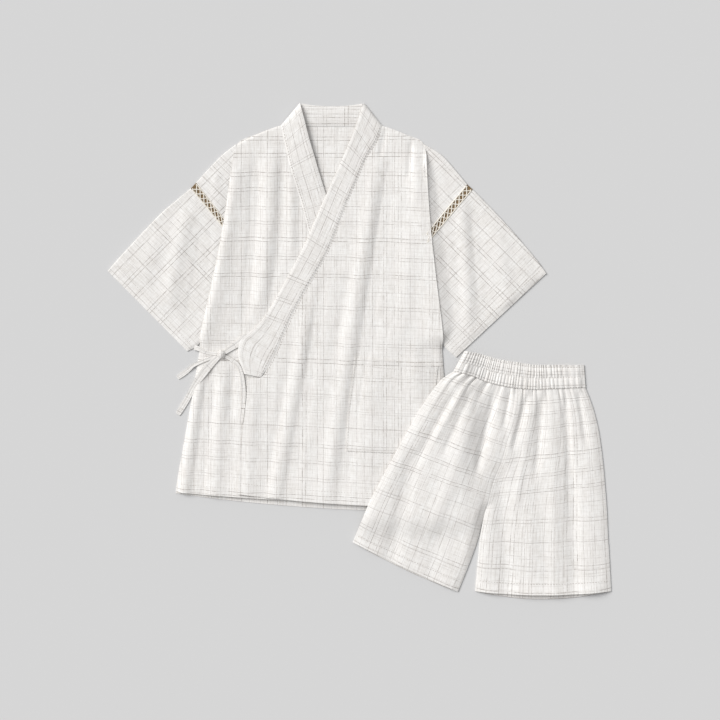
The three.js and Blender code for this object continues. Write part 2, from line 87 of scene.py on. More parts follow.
def clamp(value, low=0.0, high=1.0):
    return max(low, min(high, value))


def smooth(value, low, high):  # 0 below low, 1 above high, soft between
    t = clamp((value - low) / (high - low))
    return t * t * (3 - 2 * t)


def rowAt(table, place):  # a soft curve through a table's rows; place counts rows from 0
    last = len(table) - 1
    start = min(int(place), last - 1)
    t = place - start
    before, a, b, after = (table[int(clamp(start + step, 0, last))] for step in (-1, 0, 1, 2))
    row = []
    for p, q, r, s in zip(before, a, b, after):
        bend = 2 * p - 5 * q + 4 * r - s
        row.append(0.5 * (2 * q + (r - p) * t + bend * t * t + (3 * q - p - 3 * r + s) * t ** 3))
    return row


def sideAt(table, y):  # x of a side edge at a height; rows are (y, x) from the top down
    last = len(table) - 2
    start = 0
    while start < last and y < table[start + 1][0]:
        start += 1
    span = table[start][0] - table[start + 1][0]
    return rowAt(table, start + clamp((table[start][0] - y) / span, -0.3, 1.3))[1]


def foldHeight(folds, x, y):  # folds are (x0, y0, x1, y1, bow, width, height); a trough has a height below 0
    total = 0.0
    for x0, y0, x1, y1, bow, width, height in folds:
        dx, dy = x1 - x0, y1 - y0
        length = math.hypot(dx, dy)
        t = clamp(((x - x0) * dx + (y - y0) * dy) / (length * length))
        aside = ((y - y0) * dx - (x - x0) * dy) / length - bow * 4 * t * (1 - t)
        if abs(aside) < width * 3:
            fade = smooth(t, 0, 0.22) * smooth(1 - t, 0, 0.22)
            total += height * fade * math.exp(-((aside / width) ** 2))
    return total


crumples = {"broad": (34, 70), "fine": (12, 20), "fineShare": 0.36}  # sizes across and along the cloth


def crumple(x, y, seed, height=0.5):  # small uneven waves that pressed cotton keeps
    broad, fine = (
        noise.noise(Vector((x / crumples[kind][0], y / crumples[kind][1], seed + shift)))
        for kind, shift in (("broad", 0), ("fine", 9))
    )
    return height * (broad + crumples["fineShare"] * fine)


def rollIn(inside, edgeHeight, height, radius):  # a rounded edge: height at its rim, then inside the radius
    if inside >= radius:
        return height
    t = clamp(inside / radius)
    return edgeHeight + (height - edgeHeight) * t * (2 - t)


# materials

def newGroup(name, inputs, outputs):
    tree = bpy.data.node_groups.new(name, "ShaderNodeTree")
    for socket, kind, value in inputs:
        item = tree.interface.new_socket(socket, in_out="INPUT", socket_type=kind)
        if value is not None:
            item.default_value = value
    for socket, kind in outputs:
        tree.interface.new_socket(socket, in_out="OUTPUT", socket_type=kind)
    return tree, tree.nodes.new("NodeGroupInput"), tree.nodes.new("NodeGroupOutput")


def addMath(tree, operation, *values, clampIt=False):
    node = tree.nodes.new("ShaderNodeMath")
    node.operation = operation
    node.use_clamp = clampIt
    for slot, value in enumerate(values):
        if isinstance(value, (int, float)):
            node.inputs[slot].default_value = value
        else:
            tree.links.new(value, node.inputs[slot])
    return node.outputs[0]


def addNoise(tree, x, y, detail=2.0, roughness=0.5):
    joined = tree.nodes.new("ShaderNodeCombineXYZ")
    for slot, value in enumerate((x, y)):
        tree.links.new(value, joined.inputs[slot])
    node = tree.nodes.new("ShaderNodeTexNoise")
    node.noise_dimensions = "2D"
    node.inputs["Scale"].default_value = 1.0
    node.inputs["Detail"].default_value = detail
    node.inputs["Roughness"].default_value = roughness
    tree.links.new(joined.outputs[0], node.inputs["Vector"])
    return node.outputs[0]


def addRange(tree, value, low, high, toLow=0.0, toHigh=1.0):
    node = tree.nodes.new("ShaderNodeMapRange")
    node.interpolation_type = "SMOOTHSTEP"
    for socket, number in (("From Min", low), ("From Max", high), ("To Min", toLow), ("To Max", toHigh)):
        if isinstance(number, (int, float)):
            node.inputs[socket].default_value = number
        else:
            tree.links.new(number, node.inputs[socket])
    tree.links.new(value, node.inputs["Value"])
    return node.outputs[0]


def addLines(tree, across, along, spacing, lineWidth, look):
    # thin check lines in uneven pairs: each line or pair has a cell, with its own place, strength and breaks
    wanderRate, wanderReach, beadRate = 22, 0.0011, 280
    lineStep, sideStep = 5.3, 1.7  # keep the breaks of neighbouring lines apart
    stray = addNoise(tree, addMath(tree, "MULTIPLY", along, wanderRate), across)
    wander = addMath(tree, "MULTIPLY", stray, wanderReach)
    cells = addMath(tree, "DIVIDE", addMath(tree, "ADD", across, wander), spacing)
    cell = addMath(tree, "FLOOR", cells)
    chance = tree.nodes.new("ShaderNodeTexWhiteNoise")
    chance.noise_dimensions = "1D"
    tree.links.new(addMath(tree, "ADD", cell, look["seed"]), chance.inputs["W"])
    split = tree.nodes.new("ShaderNodeSeparateColor")
    tree.links.new(chance.outputs["Color"], split.inputs[0])
    shift, pairing, force = split.outputs
    centre = addMath(tree, "MULTIPLY_ADD", shift, look["jitter"], 0.5 - look["jitter"] / 2)
    aside = addMath(tree, "SUBTRACT", addMath(tree, "FRACT", cells), centre)
    distance = addMath(tree, "MULTIPLY", addMath(tree, "ABSOLUTE", aside), spacing)
    paired = addMath(tree, "GREATER_THAN", pairing, look["singles"])
    gap = addMath(tree, "MULTIPLY_ADD", force, look["pairGap"] * 0.5, look["pairGap"] * 0.75)
    half = addMath(tree, "MULTIPLY", addMath(tree, "MULTIPLY", gap, 0.5), paired)
    away = addMath(tree, "ABSOLUTE", addMath(tree, "SUBTRACT", distance, half))
    line = addRange(tree, away, lineWidth, 0.0)
    ownSide = addMath(tree, "MULTIPLY", addMath(tree, "SIGN", aside), sideStep)
    member = addMath(tree, "MULTIPLY_ADD", cell, lineStep, ownSide)
    breaks = addNoise(tree, addMath(tree, "MULTIPLY", along, look["breakRate"]), member, 3.0, 0.65)
    kept = addRange(tree, breaks, look["breakLow"], look["breakHigh"], 0.3, 1.0)
    beads = addNoise(tree, addMath(tree, "MULTIPLY", along, beadRate), member, 1.0, 0.5)
    kept = addMath(tree, "MULTIPLY", kept, addRange(tree, beads, 0.32, 0.62, 0.65, 1.2))
    strength = addMath(tree, "MULTIPLY_ADD", force, 0.6, 0.42)
    return addMath(tree, "MULTIPLY", addMath(tree, "MULTIPLY", line, kept), strength)


def makeCheckGroup():
    tree, given, result = newGroup(
        "slub check",
        [
            ("Vector", "NodeSocketVector", None),
            ("Warp Spacing", "NodeSocketFloat", 0.021),
            ("Weft Spacing", "NodeSocketFloat", 0.0305),
            ("Line Width", "NodeSocketFloat", 0.00095),
        ],
        [("Lines", "NodeSocketFloat"), ("Heather", "NodeSocketFloat"), ("Patches", "NodeSocketFloat"),
         ("Thread Height", "NodeSocketFloat")],
    )
    place = tree.nodes.new("ShaderNodeSeparateXYZ")
    tree.links.new(given.outputs["Vector"], place.inputs[0])
    across, along = place.outputs[0], place.outputs[1]
    lineWidth = given.outputs["Line Width"]
    warpLook = {"seed": 3.7, "jitter": 0.5, "singles": 0.5, "pairGap": 0.0052,
                "breakRate": 42, "breakLow": 0.36, "breakHigh": 0.6}
    weftLook = {"seed": 41.3, "jitter": 0.16, "singles": 0.16, "pairGap": 0.0054,
                "breakRate": 30, "breakLow": 0.32, "breakHigh": 0.56}
    warp = addLines(tree, across, along, given.outputs["Warp Spacing"], lineWidth, warpLook)
    weft = addLines(tree, along, across, given.outputs["Weft Spacing"], lineWidth, weftLook)
    fineLook = {"seed": 77.1, "jitter": 0.5, "singles": 0.7, "pairGap": 0.0026,
                "breakRate": 36, "breakLow": 0.44, "breakHigh": 0.68}
    fineShare, fineForce = 0.43, 0.42  # the faint lines' spacing and strength beside the clear ones
    fineSpacing = addMath(tree, "MULTIPLY", given.outputs["Warp Spacing"], fineShare)
    fineWarp = addLines(tree, across, along, fineSpacing, lineWidth, fineLook)
    fineWeft = addLines(tree, along, across, fineSpacing, lineWidth, fineLook)
    fine = addMath(tree, "MULTIPLY", addMath(tree, "MAXIMUM", fineWarp, fineWeft), fineForce)
    strong = addMath(tree, "MAXIMUM", warp, weft)
    tree.links.new(addMath(tree, "MAXIMUM", strong, fine), result.inputs["Lines"])
    slubThin, slubLong, warpShare = 430, 46, 0.62
    streaks = []
    for first, second in ((across, along), (along, across)):  # slubs along the warp, then along the weft
        thin = addMath(tree, "MULTIPLY", first, slubThin)
        long = addMath(tree, "MULTIPLY", second, slubLong)
        streaks.append(addRange(tree, addNoise(tree, thin, long, 2.0, 0.65), 0.34, 0.68))
    weftSlubs = addMath(tree, "MULTIPLY", streaks[1], 1 - warpShare)
    heather = addMath(tree, "MULTIPLY_ADD", streaks[0], warpShare, weftSlubs)
    tree.links.new(heather, result.inputs["Heather"])
    patchAcross = addMath(tree, "MULTIPLY", across, 38)
    patchAlong = addMath(tree, "MULTIPLY", along, 24)
    broad = addNoise(tree, patchAcross, patchAlong, 2.0, 0.6)
    tree.links.new(addRange(tree, broad, 0.36, 0.66), result.inputs["Patches"])
    threadPitch = 0.0007
    turns = 2 * math.pi / threadPitch
    weave = [addMath(tree, "SINE", addMath(tree, "MULTIPLY", value, turns)) for value in (across, along)]
    woven = addMath(tree, "MULTIPLY_ADD", addMath(tree, "MULTIPLY", *weave), 0.5, 0.5)
    slubbed = addMath(tree, "MULTIPLY_ADD", streaks[0], 0.6, woven)
    tree.links.new(slubbed, result.inputs["Thread Height"])
    return tree


def makeWearGroup():
    # soft handling marks: broad tone changes, and a little more grey in a few places
    tree, given, result = newGroup(
        "handled tone",
        [("Vector", "NodeSocketVector", None), ("Scale", "NodeSocketFloat", 9.0)],
        [("Tone", "NodeSocketFloat"), ("Crease Height", "NodeSocketFloat")],
    )
    broad = tree.nodes.new("ShaderNodeTexNoise")
    broad.inputs["Detail"].default_value = 3.0
    tree.links.new(given.outputs["Vector"], broad.inputs["Vector"])
    tree.links.new(given.outputs["Scale"], broad.inputs["Scale"])
    tree.links.new(addRange(tree, broad.outputs[0], 0.25, 0.75), result.inputs["Tone"])
    crease = tree.nodes.new("ShaderNodeTexNoise")
    crease.inputs["Detail"].default_value = 4.0
    crease.inputs["Distortion"].default_value = 0.5
    tree.links.new(given.outputs["Vector"], crease.inputs["Vector"])
    tree.links.new(addMath(tree, "MULTIPLY", given.outputs["Scale"], 9.0), crease.inputs["Scale"])
    tree.links.new(crease.outputs[0], result.inputs["Crease Height"])
    return tree


checkGroup = makeCheckGroup()
wearGroup = makeWearGroup()

clothLook = {
    "light": (0.885, 0.868, 0.842),
    "dull": (0.735, 0.705, 0.665),
    "patch": (0.83, 0.795, 0.765),
    "patchForce": 0.5,
    "line": (0.30, 0.265, 0.24),
    "lineForce": 0.82,
    "unevenness": (0.5, 0.55),  # how much of the heather comes and goes, and how much stays
    "warpSpacing": 0.0172,
    "weftSpacing": 0.0306,
    "roughness": 0.88,
    "sheen": 0.1,
    "threadBump": (0.35, 0.00012),  # strength and depth
    "creaseBump": (0.5, 0.0009),
}
threadLook = {"roughness": 0.75, "sheen": 0.1, "wearScale": 300.0, "bump": (0.4, 0.0002)}


def addMix(tree, a, b, factor):
    node = tree.nodes.new("ShaderNodeMix")
    node.data_type = "RGBA"
    for socket, value in ((node.inputs[6], a), (node.inputs[7], b)):
        if isinstance(value, tuple):
            socket.default_value = (*value, 1)
        else:
            tree.links.new(value, socket)
    tree.links.new(factor, node.inputs[0])
    return node.outputs[2]


def startMaterial(name, roughness, sheen):
    material = bpy.data.materials.new(name)
    material.use_nodes = True
    tree = material.node_tree
    shader = tree.nodes["Principled BSDF"]
    shader.inputs["Roughness"].default_value = roughness
    shader.inputs["Specular IOR Level"].default_value = 0.25
    shader.inputs["Sheen Weight"].default_value = sheen
    shader.inputs["Sheen Roughness"].default_value = 0.5
    return material, tree, shader


def addGroup(tree, group, vector, values):
    node = tree.nodes.new("ShaderNodeGroup")
    node.node_tree = group
    tree.links.new(vector, node.inputs["Vector"])
    for socket, value in values.items():
        node.inputs[socket].default_value = value
    return node.outputs


def addBump(tree, height, amounts, under=None):
    node = tree.nodes.new("ShaderNodeBump")
    node.inputs["Strength"].default_value, node.inputs["Distance"].default_value = amounts
    tree.links.new(height, node.inputs["Height"])
    if under:
        tree.links.new(under, node.inputs["Normal"])
    return node.outputs[0]


def makeCheckMaterial(name, turn=0.0, shift=(0.0, 0.0), warp=clothLook["warpSpacing"],
                      weft=clothLook["weftSpacing"]):
    material, tree, shader = startMaterial(name, clothLook["roughness"], clothLook["sheen"])
    cut = tree.nodes.new("ShaderNodeUVMap")
    cut.uv_map = "cut"
    mapping = tree.nodes.new("ShaderNodeMapping")
    mapping.inputs["Rotation"].default_value[2] = turn
    mapping.inputs["Location"].default_value = (shift[0], shift[1], 0)
    tree.links.new(cut.outputs[0], mapping.inputs[0])
    place = mapping.outputs[0]
    check = addGroup(tree, checkGroup, place, {"Warp Spacing": warp, "Weft Spacing": weft})
    wear = addGroup(tree, wearGroup, place, {})
    uneven = addMath(tree, "MULTIPLY_ADD", wear["Tone"], *clothLook["unevenness"])
    heather = addMath(tree, "MULTIPLY", check["Heather"], uneven)
    patches = addMath(tree, "MULTIPLY", check["Patches"], clothLook["patchForce"])
    clear = addMix(tree, clothLook["light"], clothLook["patch"], patches)
    ground = addMix(tree, clear, clothLook["dull"], heather)
    lines = addMath(tree, "MULTIPLY", check["Lines"], clothLook["lineForce"])
    tree.links.new(addMix(tree, ground, clothLook["line"], lines), shader.inputs["Base Color"])
    threads = addBump(tree, check["Thread Height"], clothLook["threadBump"])
    creases = addBump(tree, wear["Crease Height"], clothLook["creaseBump"], threads)
    tree.links.new(creases, shader.inputs["Normal"])
    return material


bodyCloth = makeCheckMaterial("checked cotton, straight")
collarCloth = makeCheckMaterial("checked cotton, collar", warp=0.0135, weft=0.0395)
sleeveRightCloth = makeCheckMaterial("checked cotton, right sleeve", math.radians(-45))
sleeveLeftCloth = makeCheckMaterial("checked cotton, left sleeve", math.radians(45), (0.4, 0.1))
shortsCloth = makeCheckMaterial("checked cotton, shorts", 0.0, (0.7, 0.35))
tieCloth = makeCheckMaterial("checked cotton, ties", 0.0, (1.1, 0.6), warp=0.011)


def makeThreadMaterial(name, color, darker):
    material, tree, shader = startMaterial(name, threadLook["roughness"], threadLook["sheen"])
    place = tree.nodes.new("ShaderNodeTexCoord").outputs["Object"]
    wear = addGroup(tree, wearGroup, place, {"Scale": threadLook["wearScale"]})
    tree.links.new(addMix(tree, color, darker, wear["Tone"]), shader.inputs["Base Color"])
    tree.links.new(addBump(tree, wear["Crease Height"], threadLook["bump"]), shader.inputs["Normal"])
    return material


creamThread = makeThreadMaterial("cream thread", (0.86, 0.82, 0.75), (0.76, 0.71, 0.62))
# seam thread coloured grey as painted shade: the stitches are cream, and the grey stands in for the shade in
# their holes
seamThreadPaintedShade = makeThreadMaterial("seam thread greyed as painted stitch shade", (0.46, 0.42, 0.38), (0.34, 0.30, 0.27))
# pale seam thread: cream stitches greyed a little, as painted shade in their holes
paleThreadPaintedShade = makeThreadMaterial("pale seam thread greyed as painted stitch shade", (0.66, 0.63, 0.59), (0.54, 0.50, 0.46))
brownTape = makeThreadMaterial("brown tape", (0.23, 0.155, 0.08), (0.13, 0.085, 0.04))
print("materials made")


# building

mergeReach = 0.00001
sharpFrom = 55  # degrees


def finishPiece(name, bm, material, slotName, nodes, thickness=0.0, weld=False):
    if weld:
        bmesh.ops.remove_doubles(bm, verts=bm.verts, dist=mergeReach)
    mesh = bpy.data.meshes.new(name)
    bm.to_mesh(mesh)
    bm.free()
    piece = bpy.data.objects.new(name, mesh)
    scene.collection.objects.link(piece)
    if thickness:
        wall = piece.modifiers.new("wall", "SOLIDIFY")
        wall.thickness = thickness * mm
        wall.offset = 0.0
        shown = piece.evaluated_get(bpy.context.evaluated_depsgraph_get())
        walled = bpy.data.meshes.new_from_object(shown)
        piece.modifiers.clear()
        piece.data = walled
        bpy.data.meshes.remove(mesh)
        walled.name = name
        mesh = walled
    mesh.materials.clear()
    mesh.materials.append(material)
    mesh.shade_smooth()
    mesh.set_sharp_from_angle(angle=math.radians(sharpFrom))
    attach(piece, "root")
    if nodes:
        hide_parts(*nodes)
    return piece


def clothGrid(columns, rows, place, cut):
    # a grid whose u and v run 0 to 1; place gives each point in millimetres, cut its spot on the flat cloth
    bm = bmesh.new()
    bmesh.ops.create_grid(bm, x_segments=columns, y_segments=rows, size=0.5)
    layer = bm.loops.layers.uv.new("cut")
    spots = {}
    for vert in bm.verts:
        u, v = vert.co.x + 0.5, vert.co.y + 0.5
        point = place(u, v)
        spots[vert] = cut(u, v, point)
        vert.co = Vector(point) * mm
    for face in bm.faces:
        for loop in face.loops:
            loop[layer].uv = spots[loop.vert]
    return bm


def flatArea(bm):
    return sum(face.calc_area() for face in bm.faces)


def makeCloth(name, columns, rows, place, cut, material, nodes, thickness, flat, weld=False,
              slotName="checked_cotton"):
    bm = clothGrid(columns, rows, place, cut)
    area = flatArea(bm)
    piece = finishPiece(name, bm, material, slotName, nodes, thickness, weld)
    print(f"{name}: {area:.4f} square metres of cloth")
    return piece


def planCut(u, v, point):
    return point[0] * mm, point[1] * mm


# studio

def makeStudio():
    span = studio["span"] * setWidth
    camera = bpy.data.objects.new("camera", bpy.data.cameras.new("camera"))
    camera.data.lens = studio["lens"]
    distance = studio["lens"] / camera.data.sensor_width * span
    camera.location = (studio["lookX"], studio["lookY"], distance)
    scene.collection.objects.link(camera)
    scene.camera = camera
    sun = bpy.data.objects.new("key light", bpy.data.lights.new("key light", "SUN"))
    sun.data.energy = studio["sunEnergy"]
    sun.data.angle = math.radians(studio["sunSoftness"])
    sun.rotation_euler = Vector(studio["sunFrom"]).to_track_quat("Z", "Y").to_euler()
    scene.collection.objects.link(sun)
    sky = bpy.data.worlds.new("studio")
    sky.use_nodes = True
    sky.node_tree.nodes["Background"].inputs[0].default_value = (*studio["skyColor"], 1)
    sky.node_tree.nodes["Background"].inputs[1].default_value = studio["skyStrength"]
    scene.world = sky
    scene.view_settings.view_transform = "Standard"
    bm = bmesh.new()
    bmesh.ops.create_grid(bm, x_segments=1, y_segments=1, size=studio["floorSize"])
    mesh = bpy.data.meshes.new("floor")
    bm.to_mesh(mesh)
    bm.free()
    ground = bpy.data.objects.new("floor", mesh)
    ground.location.z = -0.0002
    material, tree, shader = startMaterial("studio floor", studio["floorRoughness"], 0.0)
    shader.inputs["Base Color"].default_value = (*studio["floorColor"], 1)
    shader.inputs["Specular IOR Level"].default_value = studio["floorGloss"]
    mesh.materials.append(material)
    scene.collection.objects.link(ground)


makeStudio()
print("studio made")


# ties: folded strips of the same cloth, knotted over the right side

tieCloths = {
    "thickness": 1.3,
    "cutWidth": 0.009,
    "columns": 8,
    "perPoint": 10,
    "tipShare": 0.04,     # the last of the length, where a tie narrows by tipNarrowing
    "tipNarrowing": 0.22,
    "creaseDepth": 0.5,
    "creaseAside": 0.6,
    "creaseWidth": 1.1,
    "curl": 0.35,
    "curlSize": 9,
    "lowest": 0.7,
}
# points: x, y, z of the middle of the strip, and its width there
tieRoutes = {
    "tieCornerStrand": {
        "node": "tie_corner_strand", "width": 8.0, "farEnd": "knot",
        "points": [(-201, 26, 5.3, 13.4), (-210, 20, 5.2, 13), (-220, 12.5, 4.4, 11.5), (-230, 6, 4.3, 9.5),
                   (-239, 0, 5.2, 8), (-245, -3.5, 5.8, 7)],
    },
    "tieSideStrand": {
        "node": "tie_side_strand", "width": 6.5, "farEnd": "knot",
        "points": [(-297, 6.5, 2.2, 8.5), (-289, 4.2, 3.4, 8), (-280, -0.6, 3.9, 6), (-269, -3.6, 4.2, 5.5),
                   (-256, -5, 5.8, 5.5)],
    },
    "tieShortEnd": {
        "node": "tie_short_end", "width": 7.0, "farEnd": "bare",
        "points": [(-253, -6.5, 5.0, 5.5), (-266, -12, 4.2, 5.5), (-284, -19, 4.2, 5.5), (-299, -26, 3.0, 6),
                   (-307, -33, 1.3, 7.5), (-316, -40, 0.9, 8.5), (-327.5, -48, 0.8, 8)],
    },
    "tieLongEnd": {
        "node": "tie_long_end", "width": 9.0, "farEnd": "bare",
        "points": [(-253, -10, 5.2, 8), (-266, -22, 4.3, 12), (-280, -38, 4.4, 13.5), (-291, -53, 4.0, 12),
                   (-300.5, -68, 2.2, 10.5), (-310, -86, 0.9, 10), (-319, -101, 0.8, 10),
                   (-327, -114, 0.8, 9)],
    },
    "tieLoop": {
        "node": "tie_loop", "width": 7.0, "farEnd": "bare",
        "points": [(-243.5, -9, 5.8, 5), (-231, -15, 5.2, 5.5), (-219.5, -24, 5.8, 6),
                   (-213, -37, 5.6, 6.5), (-209.5, -56, 4.8, 7), (-208, -77, 4.4, 7),
                   (-209.5, -99, 4.3, 7.5), (-213, -130, 4.2, 7)],
    },
}
knot = {
    "centre": (-248.5, -6.0, 6.7),
    "half": (7.2, 7.8, 4.4),
    "wraps": 3,
    "wrapDepth": 0.11,
    "wrapStart": 0.4,
    "unevenness": 0.05,
    "unevenRate": 2.2,
}


def tieSpot(points, v):
    x, y, z, width = rowAt(points, v * (len(points) - 1))
    return Vector((x, y, z)), width


def tiePlace(points):
    def place(u, v):
        middle, width = tieSpot(points, v)
        heading = tieSpot(points, min(1, v + 0.01))[0] - tieSpot(points, max(0, v - 0.01))[0]
        across = Vector((heading.y, -heading.x, 0)).normalized()
        tip = 1 - smooth(1 - v, 0, tieCloths["tipShare"])
        narrowed = width * (1 - tieCloths["tipNarrowing"] * tip)
        spot = middle + across * (u - 0.5) * narrowed
        aside = ((u - 0.5) * width - tieCloths["creaseAside"]) / tieCloths["creaseWidth"]
        crease = tieCloths["creaseDepth"] * math.exp(-aside ** 2)
        size = tieCloths["curlSize"]
        curl = tieCloths["curl"] * noise.noise(Vector((spot.x / size, spot.y / size, 31)))
        return spot.x, spot.y, max(spot.z + curl - crease, tieCloths["lowest"])
    return place


def makeKnot():
    bm = bmesh.new()
    bmesh.ops.create_uvsphere(bm, u_segments=48, v_segments=24, radius=1.0)
    layer = bm.loops.layers.uv.new("cut")
    for vert in bm.verts:
        turn = math.atan2(vert.co.z, vert.co.x)
        wrap = abs(math.cos(knot["wraps"] * turn / 2 + knot["wrapStart"])) ** 0.5
        uneven = knot["unevenness"] * noise.noise(vert.co * knot["unevenRate"])
        swell = 1 - knot["wrapDepth"] * (1 - wrap) + uneven
        vert.co = Vector(c + h * p * swell for c, h, p in zip(knot["centre"], knot["half"], vert.co)) * mm
    for face in bm.faces:
        for loop in face.loops:
            loop[layer].uv = loop.vert.co.xy
    return finishPiece("tieKnot", bm, tieCloth, "checked_cotton", ["tie_knot"])


def makeTies():
    knotPiece = makeKnot()
    for name, tie in tieRoutes.items():
        points = tie["points"]
        steps = tieCloths["perPoint"] * (len(points) - 1)
        path = [tieSpot(points, step / steps)[0] * mm for step in range(steps + 1)]
        length = sum((b - a).length for a, b in zip(path, path[1:]))

        def tieCut(u, v, point, length=length):
            return u * tieCloths["cutWidth"], v * length

        bm = clothGrid(tieCloths["columns"], steps, tiePlace(points), tieCut)
        piece = finishPiece(name, bm, tieCloth, "checked_cotton", [tie["node"]], tieCloths["thickness"])
        tuple(path[0])
        [tuple(spot) for spot in path]
        print(f"{name}: {length:.4f} m long")


makeTies()
print("ties made")


# jacket body

body = {
    "thickness": 0.8,
    "rightSide": [(371, -221), (310, -229), (223, -242), (130, -260), (31, -282), (-77, -300), (-167, -316),
                  (-256, -330.5)],
    "leftSide": [(372, 116), (310, 118), (223, 124), (130, 134), (31, 146), (-77, 154), (-167, 162),
                 (-288, 174)],
    "backLevel": 0.4,
    "underLevel": 2.7,
    "overLevel": 5.3,
    "sideEdge": 1.3,      # height of a front's edge where it meets the back at the side seam
    "armEdge": {"right": 3.6, "left": 10.8},  # and where it laps the sleeve
    "armLap": 4.0,
    # heights where the armhole, the rise of its edge and its puff begin, and where it ends, with reaches
    "armStart": (378.0, 26.0),
    "edgeStart": (372.0, 40.0),
    "puffStart": (376.0, 90.0),
    "armEnd": (0.0, 30.0),
    "armPuff": {"right": 3.8, "left": 6.6},
    "armPuffWidth": {"right": 20.0, "left": 34.0},
    "puffInside": 6.0,
    "shoulderEdge": 3.3,
    "rollRadius": {"right": 12.0, "left": 9.0},
    "hemTilt": 0.05,      # the check dips towards the hem's left end
    "tiltCentre": -80,
    "tiltTop": 300,
    "tiltReach": 560,
    "takeUp": (0.25, 0.5),  # how much of the check a fold's height takes up, across and along
    "lowest": {"under": 1.3, "over": 1.6},
    "wrapStart": (396.0, 100.0),
    "wrapLift": 2.9,      # the least that the left front stands over the right one's collar
    "wrapEnd": (112.0, 50.0),
}
underFolds = [
    (-188, 380, -214, 20, 8, 10, -2.2),
    (-160, 385, -188, 30, 9, 14, 3.2),
    (-139, 394, -167, 50, 9, 9, -1.5),
    (-123, 335, -122, 150, 0, 8, 1.5),
    (-107, 300, -107, 160, 0, 8, -0.9),
    (-283, -4, -326, -330, 0, 11, 1.9),
    (-262, -8, -302, -330, 0, 11, -3.2),
    (-243, -12, -266, -330, 0, 11, 2.0),
    (-228, -22, -232, -130, 0, 7, -1.6),
    (-214, -60, -228, -330, 4, 9, 1.4),
]
overFolds = [
    (41, 396, -72, -340, 0, 15, 3.3),
    (65, 396, -46, -340, 0, 12, -2.0),
    (48, 402, 36, 345, 0, 5, -1.4),
    (93, 384, 88, 305, 0, 5, -1.6),
    (104, 384, 100, 250, 0, 9, 1.4),
    (-60, 160, -140, -340, 0, 10, -2.2),
    (-84, 120, -166, -340, 0, 14, 2.6),
    (-112, 40, -188, -340, 0, 9, -1.2),
    (90, 250, 70, -10, 4, 18, 1.8),
    (28, 70, 22, -12, 0, 8, -0.8),
    (-190, -44, -206, -330, 0, 11, 2.0),
    (-20, 150, -50, -20, 4, 9, -1.0),
    (30, -10, 6, -330, 0, 20, 1.4),
    (96, 30, 110, -140, 0, 14, 1.2),
]


def before(value, start):  # 0 past a place, 1 from its reach before it
    return smooth(start[0] - value, 0, start[1])


def armShare(y):  # 1 along the armhole, 0 along the side seam and past the shoulder
    end, reach = body["armEnd"]
    return smooth(y - end, 0, reach) * before(y, body["armStart"])


def sideEdge(side, y):
    out = -1 if side == "right" else 1
    return sideAt(body[side + "Side"], y) + out * body["armLap"] * armShare(y)


def sideRoll(side, x, y, height):
    inside = (x - sideEdge(side, y)) * (1 if side == "right" else -1)
    arm = armShare(y)
    puff = body["armPuff"][side] * arm * before(y, body["puffStart"])
    puffed = height + puff * math.exp(-((inside - body["puffInside"]) / body["armPuffWidth"][side]) ** 2)
    armRim = lerp(body["shoulderEdge"], body["armEdge"][side], before(y, body["edgeStart"]))
    rim = lerp(body["sideEdge"], armRim, arm)
    return rollIn(inside, rim, puffed, body["rollRadius"][side])


def underHeight(x, y):
    height = body["underLevel"] + foldHeight(underFolds, x, y) + crumple(x, y, 2.0)
    return sideRoll("right", x, y, max(height, body["lowest"]["under"]))


def overHeight(x, y):
    wrap = before(y, body["wrapStart"])
    inside = sideAt(body["leftSide"], y) - x
    side = smooth(inside, 4, 60)
    base = lerp(body["underLevel"] + 0.3, body["overLevel"], wrap * lerp(0.35, 1, side))
    lower = foldHeight(underFolds, x, y) * (0.8 if x < -60 else 0)
    height = base + lower + foldHeight(overFolds, x, y) + crumple(x, y, 5.0)
    least = body["lowest"]["over"] + body["wrapLift"] * wrap * before(x, body["wrapEnd"])
    return sideRoll("left", x, y, max(height, least))


def bodyCut(level):
    takeUpX, takeUpY = body["takeUp"]

    def cut(u, v, point):
        x, y, z = point
        lean = body["hemTilt"] * (x - body["tiltCentre"]) * clamp((body["tiltTop"] - y) / body["tiltReach"])
        return (x + takeUpX * (z - level)) * mm, (y + lean + takeUpY * (z - level)) * mm
    return cut


backPanel = {
    "rows": [
        (-141, 404, 42, 404, 0), (-181, 391, 78, 391, 0), (-221, 371, 116, 372, 0), (-229, 310, 118, 310, 0),
        (-242, 223, 124, 223, 0), (-260, 130, 134, 130, 0), (-282, 31, 146, 31, 0),
        (-300, -77, 154, -77, -2), (-316, -167, 162, -167, -5), (-331, -256, 174, -288, -10),
    ],
    "folds": [
        (-96, 392, -84, 290, 0, 8, 1.4), (-30, 392, -44, 300, 0, 12, 0.8), (-62, 398, -60, 330, 0, 9, -0.3),
    ],
    "columns": 84,
    "perRow": 12,
    "flat": (0.52, 0.73),
}


def backPlace(u, v):
    ax, ay, bx, by, bow = rowAt(backPanel["rows"], v * (len(backPanel["rows"]) - 1))
    x = lerp(ax, bx, u)
    y = lerp(ay, by, u) + bow * 4 * u * (1 - u)
    return x, y, body["backLevel"] + max(0, foldHeight(backPanel["folds"], x, y)) * smooth(404 - y, 0, 20)


def makeBack():
    rows = backPanel["perRow"] * (len(backPanel["rows"]) - 1)
    makeCloth("backPanel", backPanel["columns"], rows, backPlace, bodyCut(body["backLevel"]), bodyCloth,
              ["jacket_back"], body["thickness"], backPanel["flat"])


